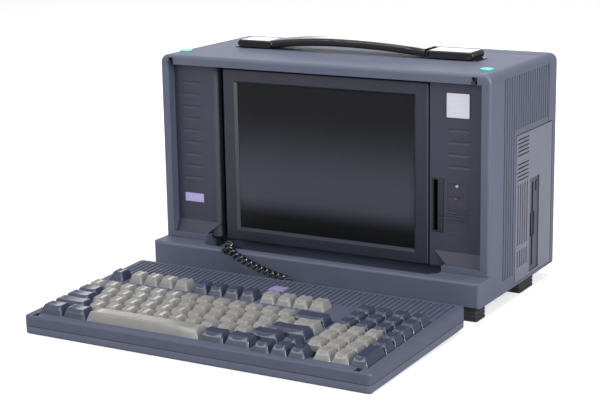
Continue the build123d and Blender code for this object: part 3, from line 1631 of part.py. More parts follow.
def flip_foot(x):
    """Foot that turns on two pins and reaches down to the table."""
    reach_down = keyboard_plane.from_local_coords(Vector(x, flip_axis, flip_axis_height)).Z
    origin = keyboard_plane.from_local_coords(Vector(x - flip_foot_width / 2, flip_axis, flip_axis_height))
    with BuildPart() as foot:
        with BuildSketch(Plane(origin=origin, x_dir=(0, 1, 0), z_dir=(1, 0, 0))):
            Circle(flip_foot_thickness / 2)
            Rectangle(flip_foot_thickness, reach_down, align=(Align.CENTER, Align.MAX))
        extrude(amount=flip_foot_width)
        pin_origin = Plane(
            origin=(origin.X - 2.5, origin.Y, origin.Z), x_dir=(0, 1, 0), z_dir=(1, 0, 0)
        )
        with BuildSketch(pin_origin):
            Circle(flip_pin_radius)
        extrude(amount=flip_foot_width + 5)
    return foot.part


write(flip_foot(-flip_foot_x), "left_keyboard_foot")
write(flip_foot(flip_foot_x), "right_keyboard_foot")

# Pads under the keyboard's front, cut level with the table
with BuildPart() as keyboard_pads:
    with BuildSketch(on_keyboard(0)):
        with Locations((-flip_foot_x, pad_front), (flip_foot_x, pad_front)):
            Rectangle(pad_length, pad_width)
    extrude(amount=-2 * pad_height)
    split(bisect_by=Plane.XY, keep=Keep.TOP)
write(keyboard_pads.part, "keyboard_pads")

# Keyboard board on the lower shell's bosses
with BuildPart() as keyboard_board:
    with BuildSketch(on_keyboard(keyboard_board_height)):
        with Locations((0, board_front_margin)):
            Rectangle(
                keyboard_width - 2 * board_side,
                keyboard_depth - board_front_margin - board_rear_margin,
                align=(Align.CENTER, Align.MIN),
            )
    extrude(amount=board_thickness)
write(keyboard_board.part, "keyboard_board")


def cell(column, row, width=1.0, depth=1.0):
    """Middle and size of a key's cell; columns and rows are counted in key widths."""
    x = first_key_x + (column + width / 2) * key_pitch
    y = key_rows_start + (row + depth / 2) * key_pitch
    return x, y, width, depth


# Rows of the layout, each key as column, row and width in key widths
letter_cells = (
    [cell(index, 4) for index in range(13)]
    + [cell(index + 1.5, 3) for index in range(12)]
    + [cell(13.5, 3, 1.5)]
    + [cell(index + 1.75, 2) for index in range(11)]
    + [cell(index + 2.25, 1) for index in range(10)]
)
command_cells = [
    cell(13, 4, 2),
    cell(0, 3, 1.5),
    cell(0, 2, 1.75),
    cell(12.75, 2, 2.25),
    cell(0, 1, 2.25),
    cell(12.25, 1, 1.75),
    cell(0, 0, 1.5),
    cell(1.5, 0, 1.5),
    cell(10, 0, 1.5),
    cell(11.5, 0, 1.5),
]
space_cells = [cell(3, 0, 7)]
light_function_cells = [cell(index + first, function_row) for first in (1.3, 9.8) for index in range(4)]
dark_function_cells = [cell(0, function_row)] + [cell(index + 5.55, function_row) for index in range(4)]
arrow_cells = [cell(13.25, -0.25), cell(14.25, -0.25), cell(15.25, -0.25), cell(14.25, 0.75)]
pad_column = key_block_width - 4
dark_pad_cells = (
    [cell(pad_column + index, row) for row in (function_row - 0.1, 5, 4) for index in range(4)]
    + [cell(pad_column + 3, 3), cell(pad_column + 3, 2)]
)
light_pad_cells = (
    [cell(pad_column + index, row) for row in (3, 2, 1) for index in range(3)]
    + [cell(pad_column + 1, 0), cell(pad_column + 2, 0)]
)
enter_cells = [cell(pad_column + 3, 0, 1, 2)]
key_groups = {
    "letter_keys": letter_cells,
    "command_keys": command_cells,
    "space_bar": space_cells,
    "light_function_keys": light_function_cells,
    "dark_function_keys": dark_function_cells,
    "arrow_keys": arrow_cells,
    "dark_pad_keys": dark_pad_cells,
    "light_pad_keys": light_pad_cells,
    "pad_enter_key": enter_cells,
}
all_cells = [one for group in key_groups.values() for one in group]


def keycap(width, depth):
    """Hollow keycap on its stem, standing on the deck's plane at the origin."""
    base_x = width * key_pitch - key_gap
    base_y = depth * key_pitch - key_gap
    top_x = base_x - 2 * key_taper
    top_y = base_y - key_front_slope - key_rear_slope
    shift = (key_front_slope - key_rear_slope) / 2
    with BuildPart() as cap:
        with BuildSketch(Plane.XY.offset(-key_sink)):
            RectangleRounded(base_x, base_y, 1)
        with BuildSketch(Plane.XY.offset(key_height)):
            with Locations((0, shift)):
                RectangleRounded(top_x, top_y, 1.6)
        loft(ruled=True)
        with BuildSketch(Plane.XY.offset(-key_sink)):
            Rectangle(base_x - 2 * key_wall, base_y - 2 * key_wall)
        with BuildSketch(Plane.XY.offset(key_height - 2 * key_wall)):
            with Locations((0, shift)):
                Rectangle(top_x - key_wall, top_y - key_wall)
        loft(ruled=True, mode=Mode.SUBTRACT)
        if width < 5:
            half = top_x / 2 - key_dish_rim
            dish_radius = (half**2 + key_dish**2) / (2 * key_dish)
            with BuildSketch(Plane.XZ.offset(-shift - top_y)):
                with Locations((0, key_height + dish_radius - key_dish)):
                    Circle(dish_radius)
            extrude(amount=2 * top_y, mode=Mode.SUBTRACT)
        with BuildSketch(Plane.XY.offset(key_height - 1.5 * key_wall)):
            Circle(stem_radius)
        extrude(amount=-(key_height - 1.5 * key_wall + stem_length))
    return cap.part


caps = {}
for group_name, cells in key_groups.items():
    with BuildPart(deck) as group:
        for size in sorted({(width, depth) for x, y, width, depth in cells}):
            if size not in caps:
                caps[size] = keycap(*size)
            with Locations(*[(x, y) for x, y, width, depth in cells if (width, depth) == size]):
                add(caps[size])
    write(group.part, group_name)

# Keyboard upper shell: a wedge with key windows, rear grooves, catch slots and the plug's pocket
key_windows = [
    (0, 2, 15, 3),
    (0, 1, 14, 1),
    (0, 0, 13, 1),
    (13.25, -0.25, 3, 1),
    (14.25, 0.75, 1, 1),
    (0, function_row, 1, 1),
    (1.3, function_row, 4, 1),
    (5.55, function_row, 4, 1),
    (9.8, function_row, 4, 1),
    (pad_column, 0, 4, 5),
    (pad_column, 5, 4, 2),
]
with BuildPart() as shell_cavity:
    with BuildSketch(on_keyboard(0)):
        with Locations((0, shell_middle)):
            RectangleRounded(
                keyboard_width - 2 * keyboard_wall,
                keyboard_depth - 2 * keyboard_wall,
                keyboard_radius - keyboard_wall,
            )
    extrude(amount=2 * keyboard_rear_height)
    split(bisect_by=deck.offset(-keyboard_wall), keep=Keep.BOTTOM)
with BuildPart() as keyboard_top:
    with BuildSketch(on_keyboard(lower_shell_height)):
        with Locations((0, shell_middle)):
            RectangleRounded(keyboard_width, keyboard_depth, keyboard_radius)
    extrude(amount=2 * keyboard_rear_height)
    split(bisect_by=deck, keep=Keep.BOTTOM)
    fillet(keyboard_top.faces().sort_by(Axis(deck.origin, deck.z_dir))[-1].edges(), keyboard_edge)
    seam_face = keyboard_top.faces().sort_by(Axis(keyboard_plane.origin, keyboard_plane.z_dir))[0]
    chamfer(seam_face.edges(), seam_chamfer)
    add(shell_cavity.part, mode=Mode.SUBTRACT)
    with BuildSketch(deck):
        for column, row, width, depth in key_windows:
            x, y, width, depth = cell(column, row, width, depth)
            with Locations((x, y)):
                Rectangle(width * key_pitch + 2 * key_window_gap, depth * key_pitch + 2 * key_window_gap)
    extrude(amount=-2 * keyboard_wall, mode=Mode.SUBTRACT)
    with BuildSketch(deck):
        with Locations(*[(x, catch_front) for x in latch_x]):
            Rectangle(catch_width, catch_length, align=(Align.CENTER, Align.MIN))
    extrude(amount=-keyboard_wall, mode=Mode.SUBTRACT)
    groove_count = int((keyboard_width - 4 * keyboard_edge) / groove_pitch)
    with BuildSketch(deck):
        with Locations((0, (groove_front + groove_back) / 2)):
            with GridLocations(groove_pitch, 0, groove_count, 1):
                Rectangle(groove_width, groove_back - groove_front)
        with Locations((keyboard_label_x, keyboard_label_middle)):
            Rectangle(keyboard_label_width, keyboard_label_length, mode=Mode.SUBTRACT)
    extrude(amount=-groove_depth, mode=Mode.SUBTRACT)
    with BuildSketch(deck.offset(-keyboard_wall)):
        for x in (post_inset - keyboard_width / 2, 0, keyboard_width / 2 - post_inset):
            with Locations((x, post_front), (x, key_rows_end + post_gap)):
                Circle(key_post_radius)
    extrude(amount=-(key_plate_depth - keyboard_wall))
    socket_wall = 1.5
    pocket_origin = in_frame((plug_x, plug_face, plug_z))
    pocket_plane = Plane(origin=pocket_origin, x_dir=(1, 0, 0), z_dir=(0, 1, 0))
    with BuildSketch(pocket_plane):
        Rectangle(
            plug_width + 2 * (plug_gap + socket_wall), plug_height + 2 * (plug_gap + socket_wall) - 1
        )
    extrude(amount=-plug_length)
    with BuildSketch(pocket_plane.offset(1)):
        Rectangle(plug_width + 2 * plug_gap, plug_height - 1 + 2 * plug_gap)
    extrude(amount=-plug_length, mode=Mode.SUBTRACT)
write(keyboard_top.part, "keyboard_top")

# Key plate under the deck, with a hole for every stem
with BuildPart() as key_plate:
    with BuildSketch(deck.offset(-key_plate_depth)):
        with Locations((0, keyboard_wall + 2 * seat_gap)):
            Rectangle(keyboard_width - 12, groove_front - keyboard_wall, align=(Align.CENTER, Align.MIN))
        with Locations(*[(x, y) for x, y, width, depth in all_cells]):
            Circle(stem_radius + stem_clearance, mode=Mode.SUBTRACT)
    extrude(amount=-key_plate_thickness)
write(key_plate.part, "key_plate")

# Blank label on the keyboard's deck
with BuildPart() as keyboard_label:
    with BuildSketch(deck):
        with Locations((keyboard_label_x, keyboard_label_middle)):
            Rectangle(keyboard_label_width, keyboard_label_length)
    extrude(amount=label_thickness)
write(keyboard_label.part, "keyboard_label")
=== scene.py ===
"""Looks of a portable computer: finishes, rounded keycaps, a curly cord and a studio stage."""
from math import cos, pi, radians, sin, sqrt

import bmesh
import bpy
from bpy.props import FloatProperty, FloatVectorProperty, IntProperty, PointerProperty
from mathutils import Matrix, Vector


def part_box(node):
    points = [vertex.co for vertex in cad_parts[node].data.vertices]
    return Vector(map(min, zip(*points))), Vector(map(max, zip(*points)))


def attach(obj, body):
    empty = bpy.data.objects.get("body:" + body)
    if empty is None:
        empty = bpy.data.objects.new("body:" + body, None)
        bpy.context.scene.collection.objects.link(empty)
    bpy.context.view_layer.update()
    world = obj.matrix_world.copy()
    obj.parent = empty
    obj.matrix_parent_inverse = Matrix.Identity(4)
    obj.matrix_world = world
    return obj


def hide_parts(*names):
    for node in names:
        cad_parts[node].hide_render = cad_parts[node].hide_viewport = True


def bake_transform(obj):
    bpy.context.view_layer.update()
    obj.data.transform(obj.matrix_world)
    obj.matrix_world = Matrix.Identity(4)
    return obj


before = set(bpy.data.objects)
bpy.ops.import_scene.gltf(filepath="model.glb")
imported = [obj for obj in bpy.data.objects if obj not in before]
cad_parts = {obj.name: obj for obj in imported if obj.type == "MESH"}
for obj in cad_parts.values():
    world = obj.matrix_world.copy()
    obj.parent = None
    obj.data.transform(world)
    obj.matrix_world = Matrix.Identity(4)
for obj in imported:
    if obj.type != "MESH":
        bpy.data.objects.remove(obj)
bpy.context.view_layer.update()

bl_info = {
    "name": "Portable computer",
    "version": (1, 0, 0),
    "blender": (4, 5, 0),
    "location": "3D View > Sidebar > Computer",
    "description": "Finishes, keycaps, curly cord and stage of a portable computer",
    "category": "Object",
}

MM = 0.001

# Sockets of a Mix node that mixes colours, whose names it gives several times
COLOUR_A = 6
COLOUR_B = 7
COLOUR_OUT = 2


def linear(text):
    """Linear colour with alpha from an sRGB hex value."""
    channels = [int(text[start:start + 2], 16) / 255 for start in (1, 3, 5)]
    return tuple(c / 12.92 if c <= 0.04045 else ((c + 0.055) / 1.055) ** 2.4 for c in channels) + (1.0,)


def toned(base, share):
    """Linear colour that is darker or lighter than another by this share."""
    return tuple(min(1.0, channel * share) for channel in base[:3]) + (1.0,)


def streaked(length, width):
    """Mapping scale for streaks along X, from their length and width in metres."""
    return (1 / length, 1 / width, 1 / width)


def colour(label, note, text):
    """Colour property with its default given in sRGB hex."""
    return FloatVectorProperty(
        name=label, description=note, default=linear(text), size=4, min=0.0, max=1.0, subtype="COLOR"
    )


def size(label, note, millimetres):
    """Length property with its default given in millimetres."""
    return FloatProperty(
        name=label, description=note, default=millimetres * MM, min=0.0, unit="LENGTH", subtype="DISTANCE"
    )


def power(label, note, watts):
    """Power property of a lamp."""
    return FloatProperty(name=label, description=note, default=watts, min=0.0, unit="POWER")


class CaseLook(bpy.types.PropertyGroup):
    shell: colour("Shell", "Slate moulding of the case and the keyboard's sides", "#565c72")
    # lighter colour of the edges: partly wear from handling, partly a painted highlight
    shell_edge_wear_and_highlight: colour("Shell edge", "Edges of the mouldings, lighter from handling and a painted highlight", "#868ca2")
    access_panel: colour("Access panel", "Greyer moulding of the cover in the right side", "#6d6f7f")
    panel: colour("Front panels", "Darker moulding beside the display", "#323447")
    bezel: colour("Display bezel", "Charcoal moulding round the screen", "#1b1d31")
    # colour of the painted reflection, a pale slate band on the screen's dark glass
    screen: colour("Screen", "Slate haze on the dark glass of the screen", "#474a57")
    handle: colour("Handle", "Glossy black moulding", "#101114")
    buttons: colour("Latch buttons", "Turquoise moulding", "#2fe0cc")
    labels: colour("Labels", "Blank lavender sheet", "#c9bdf6")
    badge: colour("Badge plate", "Bare silvery plate", "#d9dbe2")
    rubber: colour("Feet", "Black rubber", "#17181b")
    grain: size("Moulding grain", "Width of a dimple of the moulded texture", 1.6)
    edge: size("Edge rounding", "Radius that the mouldings' edges appear to have", 0.5)
    # width of the black strips of painted shadow in the seams
    seam_shadow: size("Seam shadow width", "Width of the black gasket that shows in a seam", 1.3)


class KeyboardLook(bpy.types.PropertyGroup):
    deck: colour("Deck", "Slate moulding round the keys", "#434960")
    light_keys: colour("Light keys", "Beige-grey keycaps", "#8c8b89")
    dark_keys: colour("Dark keys", "Slate keycaps", "#383e54")
    pitch: size("Key pitch", "Distance from key to key", 19.05)
    gap: size("Key gap", "Gap between two keycaps at their feet", 0.85)
    height: size("Key height", "Height of a keycap above the deck", 8.6)
    sink: size("Key sink", "Depth of a keycap's foot below the deck", 1.0)
    taper: size("Side taper", "How far each side of a keycap leans in", 3.7)
    front_slope: size("Front slope", "How far a keycap's front leans in", 3.7)
    rear_slope: size("Rear slope", "How far a keycap's rear leans in", 1.3)
    dish: size("Dish", "Depth of the hollow in a keycap's top", 0.7)
    rounding: size("Top rounding", "Radius of a keycap's top edges", 0.55)


class CordLook(bpy.types.PropertyGroup):
    jacket: colour("Jacket", "Black jacket of the cord", "#15161a")
    wire: size("Wire", "Diameter of the cord's wire", 3.2)
    coil: size("Coil radius", "From the coil's middle to the wire's middle", 3.3)
    opening: size("Coil opening", "Length in which the coil opens at each end", 18.0)
    turns: IntProperty(name="Turns", description="Turns of the coil", default=20, min=1)


class StageLook(bpy.types.PropertyGroup):
    floor: colour("Floor", "White seamless paper", "#f2f2f4")
    top_light: power("Top light", "Power of the softbox overhead", 26.0)
    front_light: power("Front light", "Power of the front softbox", 10.0)
    side_light: power("Side light", "Power of the right strip", 15.0)
    rear_light: power("Rear light", "Power of the rear strip", 6.0)
    glint_light: power("Glint light", "Power of the tube seen in gloss", 70.0)
    dome: FloatProperty(
        name="Dome", description="Strength of the white surroundings", default=0.42, min=0.0
    )


LOOKS = {
    "case_look": CaseLook, "keyboard_look": KeyboardLook, "cord_look": CordLook, "stage_look": StageLook,
}


def add_node(tree, kind, settings=None, links=None):
    """Add a shader node, set its sockets and properties by name, and link sockets into its inputs."""
    node = tree.nodes.new("ShaderNode" + kind)
    for key, value in (settings or {}).items():
        if isinstance(key, int) or key in node.inputs:
            node.inputs[key].default_value = value
        else:
            setattr(node, key, value)
    for key, source in (links or {}).items():
        tree.links.new(source, node.inputs[key])
    return node


def new_material(name):
    """Empty node material, its node tree, and the position of a surface point in metres."""
    material = bpy.data.materials.new(name)
    material.use_nodes = True
    tree = material.node_tree
    tree.nodes.clear()
    place = add_node(tree, "TexCoord").outputs["Object"]
    return material, tree, place


def moulded_abs(name, base, rubbed_and_highlit, look, roughness=0.55, dimple=0.08 * MM, crevice=2 * MM):
    """Injection moulded ABS with a spark eroded texture: soft sheen, faint mottling, edges lighter from wear
    and a painted highlight, and painted shade in its hollows.
    """
    material, tree, place = new_material(name)
    # mottling 28 mm wide, far weaker than the grain
    mottle = add_node(tree, "TexNoise", {"Scale": 1 / (28 * MM), "Detail": 3.0}, {"Vector": place})
    # the real dimples are about 0.3 mm wide and would vanish in the render, so they are drawn coarser
    dimples = add_node(
        tree, "TexNoise", {"Scale": 1 / look.grain, "Detail": 4.0, "Roughness": 0.7}, {"Vector": place}
    )
    rounded = add_node(tree, "Bevel", {"Radius": look.edge, "samples": 6})
    bumped = add_node(
        tree, "Bump", {"Strength": 0.5, "Distance": dimple},
        {"Height": dimples.outputs["Fac"], "Normal": rounded.outputs["Normal"]},
    )
    # edges lighter partly from the wear of handling and partly by a painted highlight, where the rounded
    # normal leaves the flat one at an edge
    flat = add_node(tree, "NewGeometry")
    likeness = add_node(
        tree, "VectorMath", {"operation": "DOT_PRODUCT"},
        {0: rounded.outputs["Normal"], 1: flat.outputs["Normal"]},
    )
    wear_and_highlight = add_node(
        tree, "MapRange", {"From Min": 0.99, "From Max": 0.8, "To Min": 0.0, "To Max": 0.3},
        {"Value": likeness.outputs["Value"]},
    )
    # painted shade: darker in a seam, a slot or an inner corner, where shade falls
    hollow = add_node(tree, "AmbientOcclusion", {"Distance": crevice, "samples": 8})
    shade = add_node(
        tree, "MapRange", {"From Min": 0.3, "From Max": 0.85, "To Min": 0.15, "To Max": 1.0},
        {"Value": hollow.outputs["AO"]},
    )
    body = add_node(
        tree, "Mix",
        {"data_type": "RGBA", COLOUR_A: toned(base, 0.9), COLOUR_B: toned(base, 1.08)},
        {"Factor": mottle.outputs["Fac"]},
    )
    worn_and_highlit = add_node(
        tree, "Mix", {"data_type": "RGBA", COLOUR_B: rubbed_and_highlit},
        {"Factor": wear_and_highlight.outputs["Result"], COLOUR_A: body.outputs[COLOUR_OUT]},
    )
    painted_shade = add_node(
        tree, "Mix", {"data_type": "RGBA", COLOUR_A: linear("#0b0c10")},
        {"Factor": shade.outputs["Result"], COLOUR_B: worn_and_highlit.outputs[COLOUR_OUT]},
    )
    gloss = add_node(
        tree, "MapRange", {"To Min": roughness - 0.05, "To Max": roughness + 0.07},
        {"Value": dimples.outputs["Fac"]},
    )
    shader = add_node(
        tree, "BsdfPrincipled", {"IOR": 1.52},
        {
            "Base Color": painted_shade.outputs[COLOUR_OUT], "Roughness": gloss.outputs["Result"],
            "Normal": bumped.outputs["Normal"],
        },
    )
    add_node(tree, "OutputMaterial", {}, {"Surface": shader.outputs["BSDF"]})
    return material


def polished_abs(name, base):
    """Polished ABS, such as a handle's hard skin: clear reflections, broken by fine scratches."""
    material, tree, place = new_material(name)
    # scratches along the handle, 20 mm long, and 0.8 mm apart so that they show in the render
    stretched = add_node(tree, "Mapping", {"Scale": streaked(20 * MM, 0.8 * MM)}, {"Vector": place})
    scratches = add_node(
        tree, "TexNoise", {"Scale": 1.0, "Detail": 3.0}, {"Vector": stretched.outputs["Vector"]}
    )
    rounded = add_node(tree, "Bevel", {"Radius": 0.6 * MM, "samples": 6})
    bumped = add_node(
        tree, "Bump", {"Strength": 0.12, "Distance": 0.01 * MM},
        {"Height": scratches.outputs["Fac"], "Normal": rounded.outputs["Normal"]},
    )
    gloss = add_node(
        tree, "MapRange", {"To Min": 0.1, "To Max": 0.2}, {"Value": scratches.outputs["Fac"]}
    )
    shader = add_node(
        tree, "BsdfPrincipled", {"Base Color": base, "IOR": 1.54},
        {"Roughness": gloss.outputs["Result"], "Normal": bumped.outputs["Normal"]},
    )
    add_node(tree, "OutputMaterial", {}, {"Surface": shader.outputs["BSDF"]})
    return material


def satin_pbt(name, base):
    """Moulded PBT keycaps: satin, slightly mottled, shinier where fingers have polished them."""
    material, tree, place = new_material(name)
    # patches 14 mm wide, about as wide as a fingertip
    touched = add_node(tree, "TexNoise", {"Scale": 1 / (14 * MM), "Detail": 2.0}, {"Vector": place})
    grain = add_node(tree, "TexNoise", {"Scale": 1 / (0.7 * MM), "Detail": 2.0}, {"Vector": place})
    bumped = add_node(
        tree, "Bump", {"Strength": 0.4, "Distance": 0.03 * MM}, {"Height": grain.outputs["Fac"]}
    )
    tint = add_node(
        tree, "Mix",
        {"data_type": "RGBA", COLOUR_A: toned(base, 0.9), COLOUR_B: toned(base, 1.1)},
        {"Factor": touched.outputs["Fac"]},
    )
    gloss = add_node(
        tree, "MapRange", {"To Min": 0.16, "To Max": 0.26}, {"Value": touched.outputs["Fac"]}
    )
    shader = add_node(
        tree, "BsdfPrincipled", {"IOR": 1.55},
        {
            "Base Color": tint.outputs[COLOUR_OUT], "Roughness": gloss.outputs["Result"],
            "Normal": bumped.outputs["Normal"],
        },
    )
    add_node(tree, "OutputMaterial", {}, {"Surface": shader.outputs["BSDF"]})
    return material


def moulded_rubber(name, base):
    """Compression moulded black rubber: dull, with a little grey bloom."""
    material, tree, place = new_material(name)
    # bloom in 9 mm patches over a 0.9 mm grit
    bloom = add_node(tree, "TexNoise", {"Scale": 1 / (9 * MM), "Detail": 5.0}, {"Vector": place})
    grit = add_node(tree, "TexNoise", {"Scale": 1 / (0.9 * MM), "Detail": 2.0}, {"Vector": place})
    bumped = add_node(
        tree, "Bump", {"Strength": 0.6, "Distance": 0.06 * MM}, {"Height": grit.outputs["Fac"]}
    )
    tint = add_node(
        tree, "Mix", {"data_type": "RGBA", COLOUR_A: base, COLOUR_B: linear("#2b2c30")},
        {"Factor": bloom.outputs["Fac"]},
    )
    shader = add_node(
        tree, "BsdfPrincipled", {"Roughness": 0.78, "IOR": 1.5},
        {"Base Color": tint.outputs[COLOUR_OUT], "Normal": bumped.outputs["Normal"]},
    )
    add_node(tree, "OutputMaterial", {}, {"Surface": shader.outputs["BSDF"]})
    return material


def extruded_pvc(name, base):
    """Extruded soft PVC of a cord's jacket: satin, with the faint waviness of an extrusion."""
    material, tree, place = new_material(name)
    waviness = add_node(tree, "TexNoise", {"Scale": 1 / (2.5 * MM), "Detail": 1.0}, {"Vector": place})
    bumped = add_node(
        tree, "Bump", {"Strength": 0.3, "Distance": 0.08 * MM}, {"Height": waviness.outputs["Fac"]}
    )
    shader = add_node(
        tree, "BsdfPrincipled", {"Base Color": base, "Roughness": 0.2, "IOR": 1.53},
        {"Normal": bumped.outputs["Normal"]},
    )
    add_node(tree, "OutputMaterial", {}, {"Surface": shader.outputs["BSDF"]})
    return material


def zinc_plated_sheet(name, base):
    """Zinc plated steel sheet: grey, with the spangle of the plating and a rolled grain."""
    material, tree, place = new_material(name)
    # spangles 4 mm wide, and a grain of 30 mm long lines
    spangle = add_node(tree, "TexVoronoi", {"Scale": 1 / (4 * MM)}, {"Vector": place})
    rolled = add_node(tree, "Mapping", {"Scale": streaked(30 * MM, 0.6 * MM)}, {"Vector": place})
    lines = add_node(
        tree, "TexNoise", {"Scale": 1.0, "Detail": 2.0}, {"Vector": rolled.outputs["Vector"]}
    )
    rounded = add_node(tree, "Bevel", {"Radius": 0.3 * MM, "samples": 4})
    bumped = add_node(
        tree, "Bump", {"Strength": 0.2, "Distance": 0.02 * MM},
        {"Height": lines.outputs["Fac"], "Normal": rounded.outputs["Normal"]},
    )
    tone = add_node(
        tree, "MapRange", {"To Min": 0.0, "To Max": 1.0}, {"Value": spangle.outputs["Distance"]}
    )
    tint = add_node(
        tree, "Mix", {"data_type": "RGBA", COLOUR_A: base, COLOUR_B: toned(base, 0.82)},
        {"Factor": tone.outputs["Result"]},
    )
    shader = add_node(
        tree, "BsdfPrincipled", {"Metallic": 1.0, "Roughness": 0.42},
        {"Base Color": tint.outputs[COLOUR_OUT], "Normal": bumped.outputs["Normal"]},
    )
    add_node(tree, "OutputMaterial", {}, {"Surface": shader.outputs["BSDF"]})
    return material


def turned_steel(name, base):
    """Turned steel of pins and screws: bright, with the rings that a lathe leaves."""
    material, tree, place = new_material(name)
    # a lathe's rings are too fine to show in the render, so they are drawn 1.2 mm apart
    rings = add_node(
        tree, "TexWave", {"Scale": 1 / (1.2 * MM), "wave_type": "RINGS", "Distortion": 0.5},
        {"Vector": place},
    )
    bumped = add_node(
        tree, "Bump", {"Strength": 0.15, "Distance": 0.02 * MM}, {"Height": rings.outputs["Fac"]}
    )
    shader = add_node(
        tree, "BsdfPrincipled", {"Base Color": base, "Metallic": 1.0, "Roughness": 0.28},
        {"Normal": bumped.outputs["Normal"]},
    )
    add_node(tree, "OutputMaterial", {}, {"Surface": shader.outputs["BSDF"]})
    return material


def brushed_aluminium(name, base):
    """Satin anodised aluminium plate, brushed across: pale, with a soft streaky sheen."""
    material, tree, place = new_material(name)
    # brush lines 25 mm long and 0.5 mm apart
    brushed = add_node(tree, "Mapping", {"Scale": streaked(25 * MM, 0.5 * MM)}, {"Vector": place})
    streaks = add_node(
        tree, "TexNoise", {"Scale": 1.0, "Detail": 4.0}, {"Vector": brushed.outputs["Vector"]}
    )
    rounded = add_node(tree, "Bevel", {"Radius": 0.3 * MM, "samples": 4})
    bumped = add_node(
        tree, "Bump", {"Strength": 0.3, "Distance": 0.03 * MM},
        {"Height": streaks.outputs["Fac"], "Normal": rounded.outputs["Normal"]},
    )
    tint = add_node(
        tree, "Mix", {"data_type": "RGBA", COLOUR_A: toned(base, 0.85), COLOUR_B: base},
        {"Factor": streaks.outputs["Fac"]},
    )
    shader = add_node(
        tree, "BsdfPrincipled", {"Metallic": 0.75, "Roughness": 0.38},
        {"Base Color": tint.outputs[COLOUR_OUT], "Normal": bumped.outputs["Normal"]},
    )
    add_node(tree, "OutputMaterial", {}, {"Surface": shader.outputs["BSDF"]})
    return material


def cast_aluminium(name, base):
    """Die cast aluminium, tumbled: dull silver with a fine pebbled skin."""
    material, tree, place = new_material(name)
    # pebbles 1.5 mm wide
    pebbles = add_node(tree, "TexNoise", {"Scale": 1 / (1.5 * MM), "Detail": 3.0}, {"Vector": place})
    bumped = add_node(
        tree, "Bump", {"Strength": 0.5, "Distance": 0.1 * MM}, {"Height": pebbles.outputs["Fac"]}
    )
    gloss = add_node(
        tree, "MapRange", {"To Min": 0.42, "To Max": 0.6}, {"Value": pebbles.outputs["Fac"]}
    )
    shader = add_node(
        tree, "BsdfPrincipled", {"Base Color": base, "Metallic": 1.0},
        {"Roughness": gloss.outputs["Result"], "Normal": bumped.outputs["Normal"]},
    )
    add_node(tree, "OutputMaterial", {}, {"Surface": shader.outputs["BSDF"]})
    return material


def bonded_screen_glass(name, base):
    """Matted glass bonded to an unlit liquid crystal panel: near black, with a painted reflection as a broad,
    soft slate band.
    """
    material, tree, place = new_material(name)
    height = add_node(tree, "SeparateXYZ", {}, {"Vector": place})
    # painted reflection of the studio: a pale band that begins 72 mm above the table, is full from 98 to 102
    # mm, and has faded out at 196 mm
    rise, fall = [
        add_node(
            tree, "MapRange",
            {"From Min": clear * MM, "From Max": full * MM, "interpolation_type": "SMOOTHSTEP"},
            {"Value": height.outputs["Z"]},
        )
        for clear, full in ((72, 98), (196, 102))
    ]
    painted_reflection = add_node(
        tree, "Math", {"operation": "MULTIPLY"}, {0: rise.outputs["Result"], 1: fall.outputs["Result"]}
    )
    tint = add_node(
        tree, "Mix", {"data_type": "RGBA", COLOUR_A: linear("#0e0f13"), COLOUR_B: base},
        {"Factor": painted_reflection.outputs["Value"]},
    )
    shader = add_node(
        tree, "BsdfPrincipled", {"Roughness": 0.25, "IOR": 1.5, "Specular IOR Level": 0.2},
        {"Base Color": tint.outputs[COLOUR_OUT]},
    )
    add_node(tree, "OutputMaterial", {}, {"Surface": shader.outputs["BSDF"]})
    return material


def tinted_lens(name, base, painted_glow):
    """Clear tinted polystyrene of an indicator lens: glossy, with a painted glow in its own colour."""
    material, tree, place = new_material(name)
    ripples = add_node(tree, "TexWave", {"Scale": 1 / (0.6 * MM), "Distortion": 1.0}, {"Vector": place})
    bumped = add_node(
        tree, "Bump", {"Strength": 0.2, "Distance": 0.03 * MM}, {"Height": ripples.outputs["Fac"]}
    )
    shader = add_node(
        tree, "BsdfPrincipled",
        {
            "Base Color": base, "Roughness": 0.18, "IOR": 1.59, "Transmission Weight": 0.25,
            "Emission Color": base, "Emission Strength": painted_glow,
        },
        {"Normal": bumped.outputs["Normal"]},
    )
    add_node(tree, "OutputMaterial", {}, {"Surface": shader.outputs["BSDF"]})
    return material


def screen_printed_film(name, base):
    """Screen printed polyester label: flat satin colour with a faint dot pattern of the print."""
    material, tree, place = new_material(name)
    # print dots 0.5 mm apart
    dots = add_node(tree, "TexVoronoi", {"Scale": 1 / (0.5 * MM)}, {"Vector": place})
    tint = add_node(
        tree, "Mix", {"data_type": "RGBA", COLOUR_A: base, COLOUR_B: toned(base, 0.86)},
        {"Factor": dots.outputs["Distance"]},
    )
    shader = add_node(
        tree, "BsdfPrincipled", {"Roughness": 0.4, "IOR": 1.58},
        {"Base Color": tint.outputs[COLOUR_OUT]},
    )
    add_node(tree, "OutputMaterial", {}, {"Surface": shader.outputs["BSDF"]})
    return material


def circuit_laminate(name):
    """Solder masked glass fibre laminate: glossy green with the ghosts of copper tracks."""
    material, tree, place = new_material(name)
    tracks = add_node(
        tree, "TexBrick",
        {
            "Scale": 1 / (12 * MM), "Mortar Size": 0.02, "Color1": linear("#1f4a30"),
            "Color2": linear("#235437"), "Mortar": linear("#3f7a4c"),
        },
        {"Vector": place},
    )
    shader = add_node(
        tree, "BsdfPrincipled", {"Roughness": 0.3, "IOR": 1.55}, {"Base Color": tracks.outputs["Color"]}
    )
    add_node(tree, "OutputMaterial", {}, {"Surface": shader.outputs["BSDF"]})
    return material


